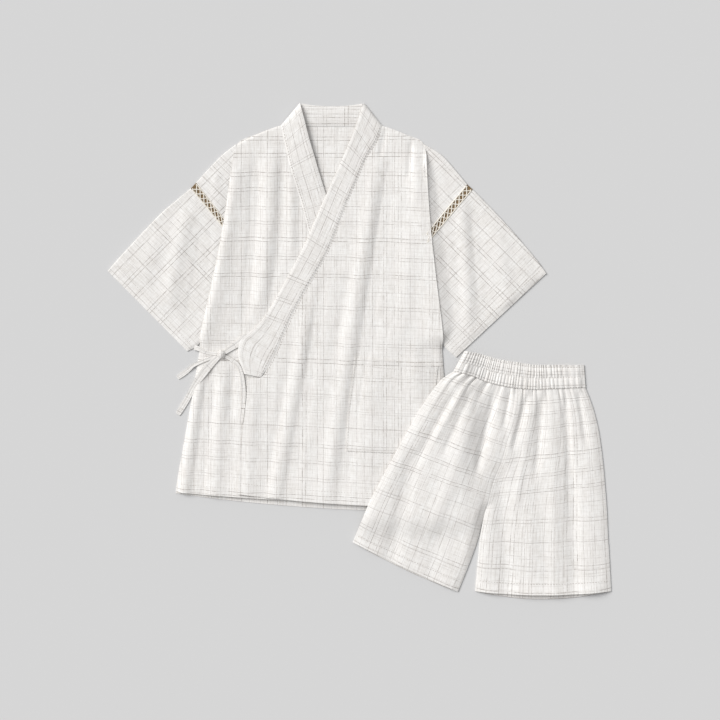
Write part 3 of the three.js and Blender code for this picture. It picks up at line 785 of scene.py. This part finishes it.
# rows: inner edge x, y; collar seam x, y; height on the side edge; bow. Hem rows have no collar.
frontRight = {
    "rows": [
        (-107, 446, -141, 406, 371, 3), (-100, 420, -137, 385, 352, 0), (-92, 388, -131, 358, 328, 0),
        (-81, 350, -124, 328, 302, 0), (-71, 316, -115, 299, 276, 0), (-60, 281, -105, 266, 248, 0),
        (-50, 248, -96, 232, 216, 0), (-40, 214, -86, 196, 182, 0), (-22, 172, -66, 150, 140, 0),
        (2, 126, -40, 100, 95, 0), (28, 86, -12, 55, 52, 0), (56, 46, 18, 12, 12, 0),
        (84, 10, 46, -30, -28, 0),
    ],
    "hemRows": [
        (62, -56, -60, 0), (70, -110, -106, 0), (75, -165, -155, -2), (79, -220, -204, -4),
        (82, -276, -254, -4),
    ],
    "height": underHeight,
    "seamGap": -0.3,
    "crowding": 1.4,      # above 1 the grid is finer beside the side edge
    "columns": 84,
    "perRow": 9,
    "flat": (0.42, 0.68),
}
frontLeft = {
    "rows": [
        (8, 446, 40.5, 405.5, 372, 3), (-1, 421, 31, 378, 350, 0), (-11, 392, 16.5, 356, 331, 0),
        (-24, 361, 5, 333, 312, 0), (-39, 327, -8, 302, 286, 0), (-58, 285, -25, 263, 254, 0),
        (-79, 236, -44, 212, 210, 0), (-98, 193, -62, 171, 170, 0), (-118, 153, -82, 136, 136, 0),
        (-137, 118, -101, 104, 104, 0), (-157, 83, -119, 70, 70, 0), (-176, 54, -134, 37, 38, 0),
        (-196, 35, -146, 8, 10, 0), (-213, 21, -156, -13, -10, 0), (-218, -7, -166, -31, -28, 0),
        (-207, -41, -177, -47, -44, 0),
    ],
    "hemRows": [
        (-199, -53, -50, 0), (-204, -90, -92, 0), (-209, -133, -138, -2), (-213, -175, -184, -4),
        (-217, -215, -232, -6), (-219, -257, -279, -8),
    ],
    "height": overHeight,
    "seamGap": 0.3,
    "crowding": 1.0,
    "columns": 96,
    "perRow": 8,
    "flat": (0.41, 0.69),
}
fronts = {"right": frontRight, "left": frontLeft}
hemLift = 2.6  # the front hems stand this much clear of the back ones
hemStart = 0.93
shoulder = {"rim": 1.2, "rowLength": 20, "radius": 6.0}


def shoulderRoll(place, height):  # the front turns over to the back at the shoulder
    return rollIn(place * shoulder["rowLength"], shoulder["rim"], height, shoulder["radius"])


def frontPlace(side):
    part = fronts[side]
    table = [row[2:] for row in part["rows"]] + part["hemRows"]

    def place(u, v):
        at = v * (len(table) - 1)
        seamX, seamY, sideY, bow = rowAt(table, at)
        fromSide = u if side == "right" else 1 - u
        share = fromSide ** part["crowding"]
        x = lerp(sideEdge(side, sideY), seamX + part["seamGap"], share)
        y = lerp(sideY, seamY, share) + bow * 4 * share * (1 - share)
        lift = hemLift * smooth(v, hemStart, 1) * smooth(fromSide, 0.02, 0.1)
        return x, y, shoulderRoll(at, part["height"](x, y)) + lift
    return place


def makeFronts():
    for side, level in (("right", "underLevel"), ("left", "overLevel")):
        part = fronts[side]
        rows = part["perRow"] * (len(part["rows"]) + len(part["hemRows"]) - 1)
        makeCloth(f"front{side.capitalize()}Panel", part["columns"], rows, frontPlace(side),
                  bodyCut(body[level]), bodyCloth, ["jacket_front_" + side], body["thickness"], part["flat"])


makeBack()
makeFronts()
print("jacket body made")


# collar

collar = {
    "thickness": 1.2,
    "rise": 0.7,          # the folded band stands this far above the front it is sewn to
    "roll": 3.0,
    "stand": {"right": 7.0, "left": 2.0},  # the inner edge rises this much beside the neck
    "columns": 16,
    "perRow": 12,
    "napeTop": 445.4,
    "napeSeam": 404.4,
    "edgeDrop": 0.9,
    "standRows": (-0.4, 0.7, 0.8, 5.5),  # rows between which the stand begins, and between which it ends
    "cutWidth": 0.045,
    "cutLength": 0.60,
    "napeThickness": 0.9,
    "napeDip": 5,
    "napePuff": 1.5,
    "napeFlat": (0.134, 0.05),
    "flat": (0.05, 0.62),
}


def collarRim(u, width, height):  # both long edges of the band are rounded down
    inside = min(u, 1 - u) * width
    return rollIn(inside, height - collar["edgeDrop"], height, collar["roll"])


def collarPlace(side):
    table, height, stand = fronts[side]["rows"], fronts[side]["height"], collar["stand"][side]
    begin, full, fall, end = collar["standRows"]

    def place(u, v):
        at = v * (len(table) - 1)
        innerX, innerY, seamX, seamY, _, _ = rowAt(table, at)
        f = 1 - u if side == "right" else u
        x = lerp(innerX, seamX, f)
        y = lerp(innerY, seamY, f)
        width = math.hypot(innerX - seamX, innerY - seamY)
        top = height(x, y) + collar["rise"]
        standing = stand * smooth(at, begin, full) * (1 - smooth(at, fall, end)) * (1 - f) ** 0.8
        return x, y, shoulderRoll(at, collarRim(u, width, top)) + standing
    return place


def bandCut(u, v, point):
    return u * collar["cutWidth"], (1 - v) * collar["cutLength"]


def napePlace(u, v):
    x = lerp(lerp(-104, 5, u), lerp(-116, 17, u), v)
    y = lerp(collar["napeTop"] - collar["napeDip"] * 4 * u * (1 - u), collar["napeSeam"], v)
    puff = collar["napePuff"] * math.sin(math.pi * clamp(v * 1.02)) ** 0.6
    return x, y, 0.7 + puff + crumple(x, y, 8.0, 0.3)


def napeCut(u, v, point):
    return point[1] * mm, point[0] * mm


def makeCollars():
    for side in ("right", "left"):
        rows = collar["perRow"] * (len(fronts[side]["rows"]) - 1)
        makeCloth(f"collar{side.capitalize()}Band", collar["columns"], rows, collarPlace(side), bandCut,
                  collarCloth, ["collar_" + side], collar["thickness"], collar["flat"],
                  slotName="collar_cotton")
    makeCloth("collarNapeBand", 40, 16, napePlace, napeCut, collarCloth, ["collar_nape"],
              collar["napeThickness"], collar["napeFlat"], slotName="collar_cotton")


makeCollars()
print("collar made")


# sleeves: one sheet folded along the top of the arm

sleeves = {
    "thickness": 0.8,
    "laceShare": 0.6,     # of the cloth's thickness
    "frontLevel": 2.6,
    "fold": 1.05,         # radius of the fold along the top of the arm
    "besideBody": {"right": 1.9, "left": 9.7},  # the front layer's height beside the body's edge
    "besideWidth": {"right": 18.0, "left": 37.0},
    "cuffLevel": 1.35,
    "backShare": 0.24,    # share of the columns in the back layer and in the fold
    "foldShare": 0.08,
    "lowest": 1.9,
    "cuffStart": 0.92,
    "spread": (12, 24, 26),  # from the fold: where creases, height and folds are full
    "crease": 0.45,
    "fullTuck": 4,
    "edgeHeight": 1.2,
    "columns": 92,
}
# rows: fold x, y; armhole or under edge x, y; how far the front layer is tucked under the body's edge
rightSleeve = {
    "side": "right",
    "cloth": sleeveRightCloth,
    "cap": [(-222, 371.5, -222.5, 352, 8), (-237, 360.5, -226.5, 330, 8), (-252, 347.5, -230.5, 302, 8),
            (-271, 327.5, -235.5, 268, 8), (-293.5, 303, -240.5, 235.5, 8)],
    "lace": [(-293.8, 302.7, -240.8, 235, 8), (-303.2, 292.8, -242.8, 219.4, 8)],
    "sleeve": [(-303.5, 292.4, -243, 218.9, 8), (-328, 272, -250, 180, 8), (-354, 250, -259, 135, 8),
               (-380, 223.5, -269, 88, 8), (-406, 196, -279, 45, 6), (-430, 170, -290, 12, 0),
               (-452.7, 144, -310, 0, 0)],
    "folds": [(-300, 272, -345, 60, -6, 16, 2.6), (-274, 232, -312, 20, 4, 12, -2.0),
              (-350, 230, -400, 110, 0, 20, 1.2), (-262, 340, -254, 240, 0, 12, 1.4)],
    "seed": 11.0,
}
leftSleeve = {
    "side": "left",
    "cloth": sleeveLeftCloth,
    "cap": [(117, 371.5, 116.6, 350, 8), (132, 363, 117.6, 325, 8), (150, 350.5, 119, 292, 8),
            (171, 327, 121.8, 256, 8), (193.5, 300, 124.6, 217, 8)],
    "lace": [(193.8, 299.7, 124.8, 216.6, 8), (203.7, 290.7, 126.2, 198.7, 8)],
    "sleeve": [(204, 290.4, 126.4, 198.3, 8), (232, 262, 130.4, 160, 8), (259, 233.5, 135.4, 118, 8),
               (285, 204, 141, 75, 8), (310, 174.5, 145.8, 34, 6), (324, 157, 152, 10, 0),
               (336, 140, 174, -11, 0)],
    "folds": [(180, 300, 196, 10, 4, 12, 2.6), (206, 290, 232, 30, -6, 12, -1.4),
              (240, 250, 266, 50, 6, 18, 1.8), (290, 190, 306, 110, 0, 16, 1.0)],
    "seed": 17.0,
}


def sleevePlace(sleeve, rows):
    back, fold = sleeves["backShare"], sleeves["foldShare"]
    low = body["backLevel"]
    side = sleeve["side"]
    creaseSpread, levelSpread, foldSpread = sleeves["spread"]
    besideBody, besideWidth = sleeves["besideBody"][side], sleeves["besideWidth"][side]

    def place(u, v):
        foldX, foldY, armX, armY, tuck = rowAt(rows, v * (len(rows) - 1))
        reach = math.hypot(foldX - armX, foldY - armY)
        outX, outY = (foldX - armX) / reach, (foldY - armY) / reach
        straight = reach - sleeves["fold"]
        cuff = smooth(v, sleeves["cuffStart"], 1) if rows is sleeve["sleeve"] else 0
        if u < back:
            distance, z = straight * u / back, low
        elif u < back + fold:
            angle = math.pi * ((u - back) / fold - 0.5)
            distance = straight + sleeves["fold"] * math.cos(angle)
            z = low + sleeves["fold"] * (1 + math.sin(angle))
        else:
            f = (u - back - fold) / (1 - back - fold)
            distance = lerp(straight, -tuck, f)
            x, y = armX + outX * distance, armY + outY * distance
            fromFold = straight - distance
            z = lerp(low + 2 * sleeves["fold"], sleeves["frontLevel"], smooth(fromFold, 0, levelSpread))
            z += foldHeight(sleeve["folds"], x, y) * smooth(fromFold, 0, foldSpread)
            z += crumple(x, y, sleeve["seed"], sleeves["crease"]) * smooth(fromFold, 0, creaseSpread)
            nearBody = (1 - smooth(distance, -4, besideWidth)) * smooth(tuck, 0, 6)
            nearBody *= smooth(fromFold, 10, 40) * before(y, body["edgeStart"])
            z = lerp(max(z, sleeves["lowest"]), besideBody, nearBody)
            z = lerp(z, min(z, sleeves["cuffLevel"]), cuff)
            if tuck < sleeves["fullTuck"]:
                rolled = rollIn(distance + tuck, sleeves["edgeHeight"], z, 4.0)
                z = lerp(rolled, z, tuck / sleeves["fullTuck"])
        return armX + outX * distance, armY + outY * distance, z
    return place


def makeSleeves():
    # each stretch: its rows, its piece and node names, rows of the grid in each, flat size and slot
    stretches = (
        ("cap", "sleeveCap", "sleeve_cap_", 8, (0.24, 0.13), "checked_cotton"),
        ("lace", "laceTape", "lace_", 5, (0.24, 0.014), "ladder_lace"),
        ("sleeve", "sleeve", "sleeve_", 9, (0.42, 0.24), "checked_cotton"),
    )
    for sleeve in (rightSleeve, leftSleeve):
        side = sleeve["side"]
        for part, name, node, perRow, flat, slotName in stretches:
            rows = sleeve[part]
            material, share = (brownTape, sleeves["laceShare"]) if part == "lace" else (sleeve["cloth"], 1)
            makeCloth(name + side.capitalize(), sleeves["columns"], perRow * (len(rows) - 1),
                      sleevePlace(sleeve, rows), planCut, material, [node + side],
                      sleeves["thickness"] * share, flat, slotName=slotName)


makeSleeves()
print("sleeves made")


# shorts

shorts = {
    "thickness": 0.8,
    "lift": 8.6,          # where they cross the jacket
    "liftEndX": 180.0,
    "liftEndY": -294.0,
    "liftRamp": 50.0,
    "backLevel": 0.5,
    "frontLevel": 4.3,
    "centreSeam": [(286.5, -69), (284, -98), (278, -128), (267, -160), (257, -196), (241, -235),
                   (233, -266)],
    "seamGap": 0.08,
    "rollRadius": 17.0,
    "edge": 1.3,
    "waistLength": 238.0,
    "rowLength": 32,
    "pleats": {"pitch": 6.4, "height": 1.6, "reach": 12},  # fine gathers right below the waistband
    "slits": {"pitch": 14.5, "height": 4.4, "reach": 42},  # broad ones that run on down the leg
    "seamDepth": 0.35,
    "seamWidth": 2.2,
    "hemStart": 0.94,
    "crease": 0.5,
    "cut": (0.215, 0.372, 0.4),  # width, length and how far folds take up the check
    "columns": 60,
    "perRow": 9,
    "flat": (0.30, 0.42),
}
waistTable = [  # top edge x, y; waist seam x, y
    (190, 0, 170, -36), (217, -5, 203, -45), (240, -12, 228, -55), (264, -17, 255, -62),
    (290, -21, 285, -67), (318, -25, 318, -69), (348, -25, 352, -67.5), (403, -25, 406, -65.5),
]
rightLeg = {
    "outer": [(169, -38), (147, -52), (126, -78), (107, -108), (88, -140), (70, -173), (52, -206),
              (35, -238), (18, -272), (3, -307), (-12, -344)],
    "inseam": [(221, -306), (211, -344), (196, -386), (177, -433)],
    "hemBow": -2,
    "backDrop": 3,
    "hemLift": 0.8,
}
leftLeg = {
    "outer": [(406.5, -67), (415, -88), (423, -112), (430, -142), (435, -175), (439, -210), (442, -245),
              (445, -285), (447, -330), (450, -380), (452.7, -432)],
    "inseam": [(224, -297), (217, -335), (213, -379), (208, -432)],
    "hemBow": -7,
    "backDrop": 7.4,
    "hemLift": 3.0,
}
legFolds = [
    (176, -62, 92, -215, 0, 9, -2.4),
    (104, -160, 44, -420, 0, 15, -3.4),
    (190, -58, 128, -170, 0, 7, 2.0),
    (206, -60, 146, -196, 0, 7, -2.2),
    (224, -62, 118, -360, 0, 15, 2.2),
    (247, -60, 206, -236, 0, 7, -3.2),
    (160, -250, 110, -470, 0, 16, -1.4),
    (262, -90, 182, -400, 0, 15, 1.8),
    (273, -60, 258, -150, 0, 5, -2.2),
    (287, -66, 268, -200, 0, 8, 1.6),
    (308, -60, 272, -190, 0, 6, -2.8),
    (318, -64, 276, -300, 0, 7, 1.6),
    (331, -60, 316, -240, 0, 7, -3.2),
    (252, -190, 270, -520, 0, 15, -2.8),
    (346, -66, 352, -520, 0, 12, 2.0),
    (368, -58, 386, -330, 0, 6, -3.8),
    (378, -180, 390, -520, 0, 11, -2.6),
    (392, -60, 410, -180, 0, 5, -2.2),
    (408, -120, 420, -520, 0, 14, 1.2),
    (306, -260, 312, -520, 0, 16, 1.4),
]


def shortsRest(x, y):
    ramp = shorts["liftRamp"]
    acrossX = before(x, (shorts["liftEndX"] + ramp, ramp))
    acrossY = before(-y, (-shorts["liftEndY"] + ramp, ramp))
    return shorts["lift"] * acrossX * acrossY


def gather(s, seed, pitch, sharpness=0.7):  # uneven ridges and narrow troughs, s along the waist
    drift = 0.9 * noise.noise(Vector((s / 17, seed, 0.5)))
    ridge = abs(math.sin(math.pi * (s / pitch + drift))) ** sharpness
    uneven = 0.74 + 0.5 * noise.noise(Vector((s / 9, seed, 4.5)))
    return clamp(ridge * uneven * 1.1, 0, 1.25)


def waistAt(s):  # s runs 0 to 1 from the right end to the left end
    return rowAt(waistTable, s * (len(waistTable) - 1))


def legPlace(leg, side, front):
    inner = shorts["centreSeam"] + leg["inseam"]
    table = [(*o, *i) for o, i in zip(leg["outer"], inner)]
    seamRows = len(shorts["centreSeam"]) - 1
    gap = shorts["seamGap"] * (-1 if side == "right" else 1)
    last = len(table) - 1
    pleats, slits = shorts["pleats"], shorts["slits"]

    def place(u, v):
        at = v * last
        outerX, outerY, innerX, innerY = rowAt(table, at)
        innerX += gap * clamp(seamRows + 1 - at)
        bow = (leg["hemBow"] - (0 if front else leg["backDrop"])) * smooth(at, last - 3, last)
        x = lerp(outerX, innerX, u)
        y = lerp(outerY, innerY, u) + bow * 4 * u * (1 - u)
        waistS = lerp(0, 0.5, u) if side == "right" else lerp(1, 0.5, u)
        if at < 2:  # the top edge follows the waistband's seam
            seamY = waistAt(waistSeamShare(x))[3]
            straightY = lerp(leg["outer"][0][1], inner[0][1], u)
            y += (seamY - 0.6 - straightY) * (1 - smooth(at, 0, 2))
        below = at * shorts["rowLength"]
        rest = shortsRest(x, y)
        if not front:
            return x, y, rest + shorts["backLevel"]
        pleat = gather(waistS * shorts["waistLength"], 3.0, pleats["pitch"])
        slit = gather(waistS * shorts["waistLength"], 6.0, slits["pitch"], 0.55)
        height = shorts["frontLevel"] + foldHeight(legFolds, x, y) * smooth(below, 0, 26)
        height += (pleat - 0.5) * pleats["height"] * math.exp(-below / pleats["reach"])
        height += (slit - 0.6) * slits["height"] * math.exp(-below / slits["reach"])
        height += crumple(x, y, 23.0, shorts["crease"]) * smooth(below, 4, 30)
        width = math.hypot(outerX - innerX, outerY - innerY)
        fromInner = (1 - u) * width
        edge, roll = shorts["edge"], shorts["rollRadius"]
        outside = rollIn(u * width, edge, height, roll)
        if at < seamRows:
            height = outside - shorts["seamDepth"] * math.exp(-(fromInner / shorts["seamWidth"]) ** 2)
        else:
            crotch = smooth(at, seamRows, seamRows + 0.6)
            height = lerp(outside, rollIn(fromInner, edge, outside, roll), crotch)
        lift = leg["hemLift"] * smooth(v, shorts["hemStart"], 1) * smooth(min(u, 1 - u), 0.02, 0.12)
        return x, y, rest + max(height, edge) + lift
    return place


def waistSeamShare(x):  # where along the waist a seam point lies, by halving
    low, high = 0.0, 1.0
    halvings = 18
    for _ in range(halvings):
        middle = (low + high) / 2
        if waistAt(middle)[2] < x:
            low = middle
        else:
            high = middle
    return (low + high) / 2


def legCut(side):
    turn = 1 if side == "right" else -1
    width, length, takeUp = shorts["cut"]

    def cut(u, v, point):
        return turn * u * width, -v * length + takeUp * (point[2] - shortsRest(point[0], point[1])) * mm
    return cut


def makeLegs():
    for side, leg in (("right", rightLeg), ("left", leftLeg)):
        for front in (False, True):
            layer = "Front" if front else "Back"
            rows = shorts["perRow"] * (len(leg["outer"]) - 1)
            place = legPlace(leg, side, front)
            makeCloth("shorts" + layer + side.capitalize(), shorts["columns"], rows, place, legCut(side),
                      shortsCloth, [f"shorts_{layer.lower()}_{side}"], shorts["thickness"], shorts["flat"])


waistband = {
    "thickness": 0.8,
    "backLevel": 0.6,
    "frontLevel": 4.0,
    "endLevel": 2.2,
    "channels": (0.0, 0.47, 0.9),  # stitched lines across the band, as shares of its depth
    "bulge": 0.8,
    "topBulge": 0.35,     # of the frill above the last line, as a share of the bulge
    "gather": 1.9,
    "ruffle": 1.1,        # how far the top edge goes up and down
    "endFade": 0.045,
    "cut": (0.62, 0.05),
    "pitches": (6.3, 5.4),  # of the gathers below and above the middle line
    "frontShare": 0.62,
    "endShare": 0.02,
    "columns": 420,
    "rows": 30,
    "flat": (0.62, 0.11),
}


def waistPlace(u, v):
    front, end = waistband["frontShare"], waistband["endShare"]
    frontSpan = front - 2 * end
    lowZ, highZ = waistband["backLevel"], waistband["endLevel"]
    middleZ, radius = (lowZ + highZ) / 2, (highZ - lowZ) / 2
    turned = None
    if u < end:
        s, turned = 0.0, math.pi * (u / end - 0.5)
    elif u < end + frontSpan:
        s = (u - end) / frontSpan
    elif u < front:
        s, turned = 1.0, math.pi * (0.5 - (u - end - frontSpan) / end)
    else:
        s = 1 - (u - front) / (1 - front)
    topX, topY, seamX, seamY = waistAt(s)
    x = lerp(seamX, topX, v)
    y = lerp(seamY, topY, v)
    rest = shortsRest(x, y)
    ends = smooth(min(s, 1 - s), 0, waistband["endFade"])
    if turned is not None:
        out = -1 if s == 0 else 1
        return x + out * radius * math.cos(turned), y, rest + middleZ + radius * math.sin(turned)
    if u > front:
        return x, y, rest + lowZ
    low, middle, high = waistband["channels"]
    below, above = waistband["pitches"]
    along = s * shorts["waistLength"]
    upper = smooth(v, middle - 0.04, middle + 0.04)
    across = lerp(gather(along, 3.0, below), gather(along, 12.0, above), upper)
    if v < middle:
        arch = math.sin(math.pi * (v - low) / (middle - low))
    elif v < high:
        arch = math.sin(math.pi * (v - middle) / (high - middle))
    else:
        arch = waistband["topBulge"] * math.sin(math.pi / 2 * (v - high) / (1 - high))
    pinch = 0.5 + 0.5 * max(arch, 0) ** 0.5 + 0.6 * smooth(v, high, 1)
    gathered = waistband["gather"] * (across - 0.35) * pinch
    height = waistband["frontLevel"] + waistband["bulge"] * arch + gathered
    ruffle = waistband["ruffle"] * (across - 0.5) * smooth(v, high, 1.0)
    return x, y + ruffle * ends, rest + lerp(highZ, height, ends)


def waistCut(u, v, point):
    width, depth = waistband["cut"]
    return u * width, v * depth


def makeWaistband():
    makeCloth("waistbandCasing", waistband["columns"], waistband["rows"], waistPlace, waistCut, shortsCloth,
              ["waistband"], waistband["thickness"], waistband["flat"],
              weld=True)


makeLegs()
makeWaistband()
print("shorts made")


# pocket: a patch on the left front

pocket = {
    "rows": [(-8, -11, 141, -27), (-13, -54, 137, -66), (-19, -97, 133, -106), (-22, -139, 130, -146),
             (-24, -180, 127, -186)],
    "depth": 168,
    "gap": 1.1,           # from the front's middle to the patch's
    "puff": 0.8,
    "mouth": 0.5,
    "seamReach": 14,
    "thickness": 0.8,
    "columns": 60,
    "perRow": 16,
    "flat": (0.153, 0.166),
}


def pocketPlace(u, v):
    ax, ay, bx, by = rowAt(pocket["rows"], v * (len(pocket["rows"]) - 1))
    x, y = lerp(ax, bx, u), lerp(ay, by, u)
    sewn = min(min(u, 1 - u) * (bx - ax), (1 - v) * pocket["depth"])
    inside = smooth(sewn, 1, pocket["seamReach"])
    mouth = pocket["mouth"] * smooth(1 - v, 0.9, 1)
    return x, y, overHeight(x, y) + pocket["gap"] + (pocket["puff"] + mouth) * inside


def makePocket():
    rows = pocket["perRow"] * (len(pocket["rows"]) - 1)
    makeCloth("pocketPatch", pocket["columns"], rows, pocketPlace, bodyCut(body["overLevel"] + 1), bodyCloth,
              ["pocket"], pocket["thickness"], pocket["flat"])


makePocket()
print("pocket made")


# threads: the lace's lattice and the stitches

def makeThreads(name, runs, radius, material, slotName):
    # every run is a list of points in millimetres that one thread follows
    line = bpy.data.curves.new(name, "CURVE")
    line.dimensions = "3D"
    line.bevel_depth = radius * mm
    line.bevel_resolution = 0
    line.use_fill_caps = True
    for run in runs:
        spline = line.splines.new("POLY")
        spline.points.add(len(run) - 1)
        for knotPoint, spot in zip(spline.points, run):
            knotPoint.co = (*(Vector(spot) * mm), 1)
    holder = bpy.data.objects.new(name + "Line", line)
    scene.collection.objects.link(holder)
    shown = holder.evaluated_get(bpy.context.evaluated_depsgraph_get())
    mesh = bpy.data.meshes.new_from_object(shown)
    bpy.data.objects.remove(holder)
    bpy.data.curves.remove(line)
    bm = bmesh.new()
    bm.from_mesh(mesh)
    bpy.data.meshes.remove(mesh)
    bmesh.ops.remove_doubles(bm, verts=bm.verts, dist=mergeReach / 2)
    bmesh.ops.recalc_face_normals(bm, faces=bm.faces)
    print(f"{name}: {len(runs)} threads")
    return finishPiece(name, bm, material, slotName, [])


lattice = {
    "pitch": 10.6,        # of the diamonds along the tape
    "advance": 1.5,       # pitches that a thread takes to cross it
    "radius": 1.0,
    "edgeRadius": 1.05,
    "lift": 0.55,
    "steps": 12,
    "margin": 0.5,
    "edges": (0.07, 0.93),
    "edgeSteps": 40,
}


def latticeRuns(sleeve):
    rows = sleeve["lace"]
    place = sleevePlace(sleeve, rows)
    foldX, foldY, armX, armY, tuck = rowAt(rows, 0.5)
    length = math.hypot(foldX - armX, foldY - armY) + tuck
    turned = sleeves["backShare"] + sleeves["foldShare"]

    def onFront(along, across):
        x, y, z = place(lerp(turned, 1, along / length), across)
        return x, y, z + lattice["lift"]

    def onBack(along, across):
        x, y, _ = place(lerp(sleeves["backShare"], 0, along / length), across)
        return x, y, lattice["radius"]

    pitch, reach = lattice["pitch"], lattice["pitch"] * lattice["advance"]
    steps, margin = lattice["steps"], lattice["margin"]
    crossing = []
    for layer in (onFront, onBack):
        for index in range(-2, int(length / pitch) + 1):
            for way in (1, -1):
                spots = []
                for step in range(steps + 1):
                    along = index * pitch + reach * step / steps
                    if margin < along < length - margin:
                        spots.append(layer(along, step / steps if way > 0 else 1 - step / steps))
                if len(spots) > 2:
                    crossing.append(spots)
    edges = []
    count = lattice["edgeSteps"]
    for across in lattice["edges"]:
        for layer in (onFront, onBack):
            edges.append([layer(length * step / count, across) for step in range(1, count)])
    return crossing, edges


def makeLattices():
    for side, sleeve in (("Right", rightSleeve), ("Left", leftSleeve)):
        crossing, edges = latticeRuns(sleeve)
        makeThreads("laceLattice" + side, crossing, lattice["radius"], creamThread, "ladder_lace")
        makeThreads("laceEdges" + side, edges, lattice["edgeRadius"], creamThread, "ladder_lace")


def stitchRuns(place, start, end, lift=0.55):  # stitches on a piece, from one spot of its grid to another
    stitch, gap, shortest, steps = 3.2, 1.9, 0.6, 500
    spots = []
    for step in range(steps + 1):
        x, y, z = place(lerp(start[0], end[0], step / steps), lerp(start[1], end[1], step / steps))
        spots.append(Vector((x, y, z + lift)))
    runs, run, travelled = [], [], 0.0
    for before, spot in zip(spots, spots[1:]):
        travelled += (spot - before).length
        if travelled % (stitch + gap) < stitch:
            run.append(spot)
        elif run:
            runs.append([run[0], run[-1]])
            run = []
    return [pair for pair in runs if (pair[1] - pair[0]).length > shortest]


def makeStitches():
    overFront, underFront = frontPlace("left"), frontPlace("right")
    overCollar, underCollar = collarPlace("left"), collarPlace("right")
    collarRows = len(frontLeft["rows"]) - 1
    collarEnd = collarRows / (collarRows + len(frontLeft["hemRows"]))
    collarRuns = stitchRuns(overCollar, (0.93, 0.02), (0.93, 0.99), lift=0.8)
    collarRuns += stitchRuns(overFront, (0.008, 0.02), (0.008, collarEnd))
    collarRuns += stitchRuns(underCollar, (0.07, 0.02), (0.07, 0.62), lift=0.8)
    makeThreads("collarStitches", collarRuns, 0.34, seamThreadPaintedShade, "collar_cotton")
    hemRuns = stitchRuns(overFront, (0.02, 0.975), (0.97, 0.975))
    hemRuns += stitchRuns(underFront, (0.03, 0.978), (0.98, 0.978))
    for sleeve in (rightSleeve, leftSleeve):
        hemRuns += stitchRuns(sleevePlace(sleeve, sleeve["sleeve"]), (0.34, 0.9), (0.99, 0.9))
    makeThreads("jacketHemStitches", hemRuns, 0.3, paleThreadPaintedShade, "checked_cotton")
    pocketLines = (  # down one side, along the bottom, up the other side, and below the mouth
        ((0.014, 0.01), (0.014, 0.99)), ((0.014, 0.988), (0.986, 0.988)), ((0.986, 0.99), (0.986, 0.01)),
        ((0.014, 0.1), (0.986, 0.1)),
    )
    pocketRuns = [run for start, end in pocketLines for run in stitchRuns(pocketPlace, start, end)]
    makeThreads("pocketStitches", pocketRuns, 0.3, paleThreadPaintedShade, "checked_cotton")
    waistRuns = []
    waistStart = waistband["endShare"] + 0.004
    waistEnd = waistband["frontShare"] - waistband["endShare"] - 0.004
    for line in (waistband["channels"][1], waistband["channels"][2], 0.02):
        waistRuns += stitchRuns(waistPlace, (waistStart, line), (waistEnd, line))
    for side, leg in (("right", rightLeg), ("left", leftLeg)):
        waistRuns += stitchRuns(legPlace(leg, side, True), (0.02, 0.957), (0.98, 0.957))
    makeThreads("shortsStitches", waistRuns, 0.32, seamThreadPaintedShade, "checked_cotton")


makeLattices()
makeStitches()
print("threads made")
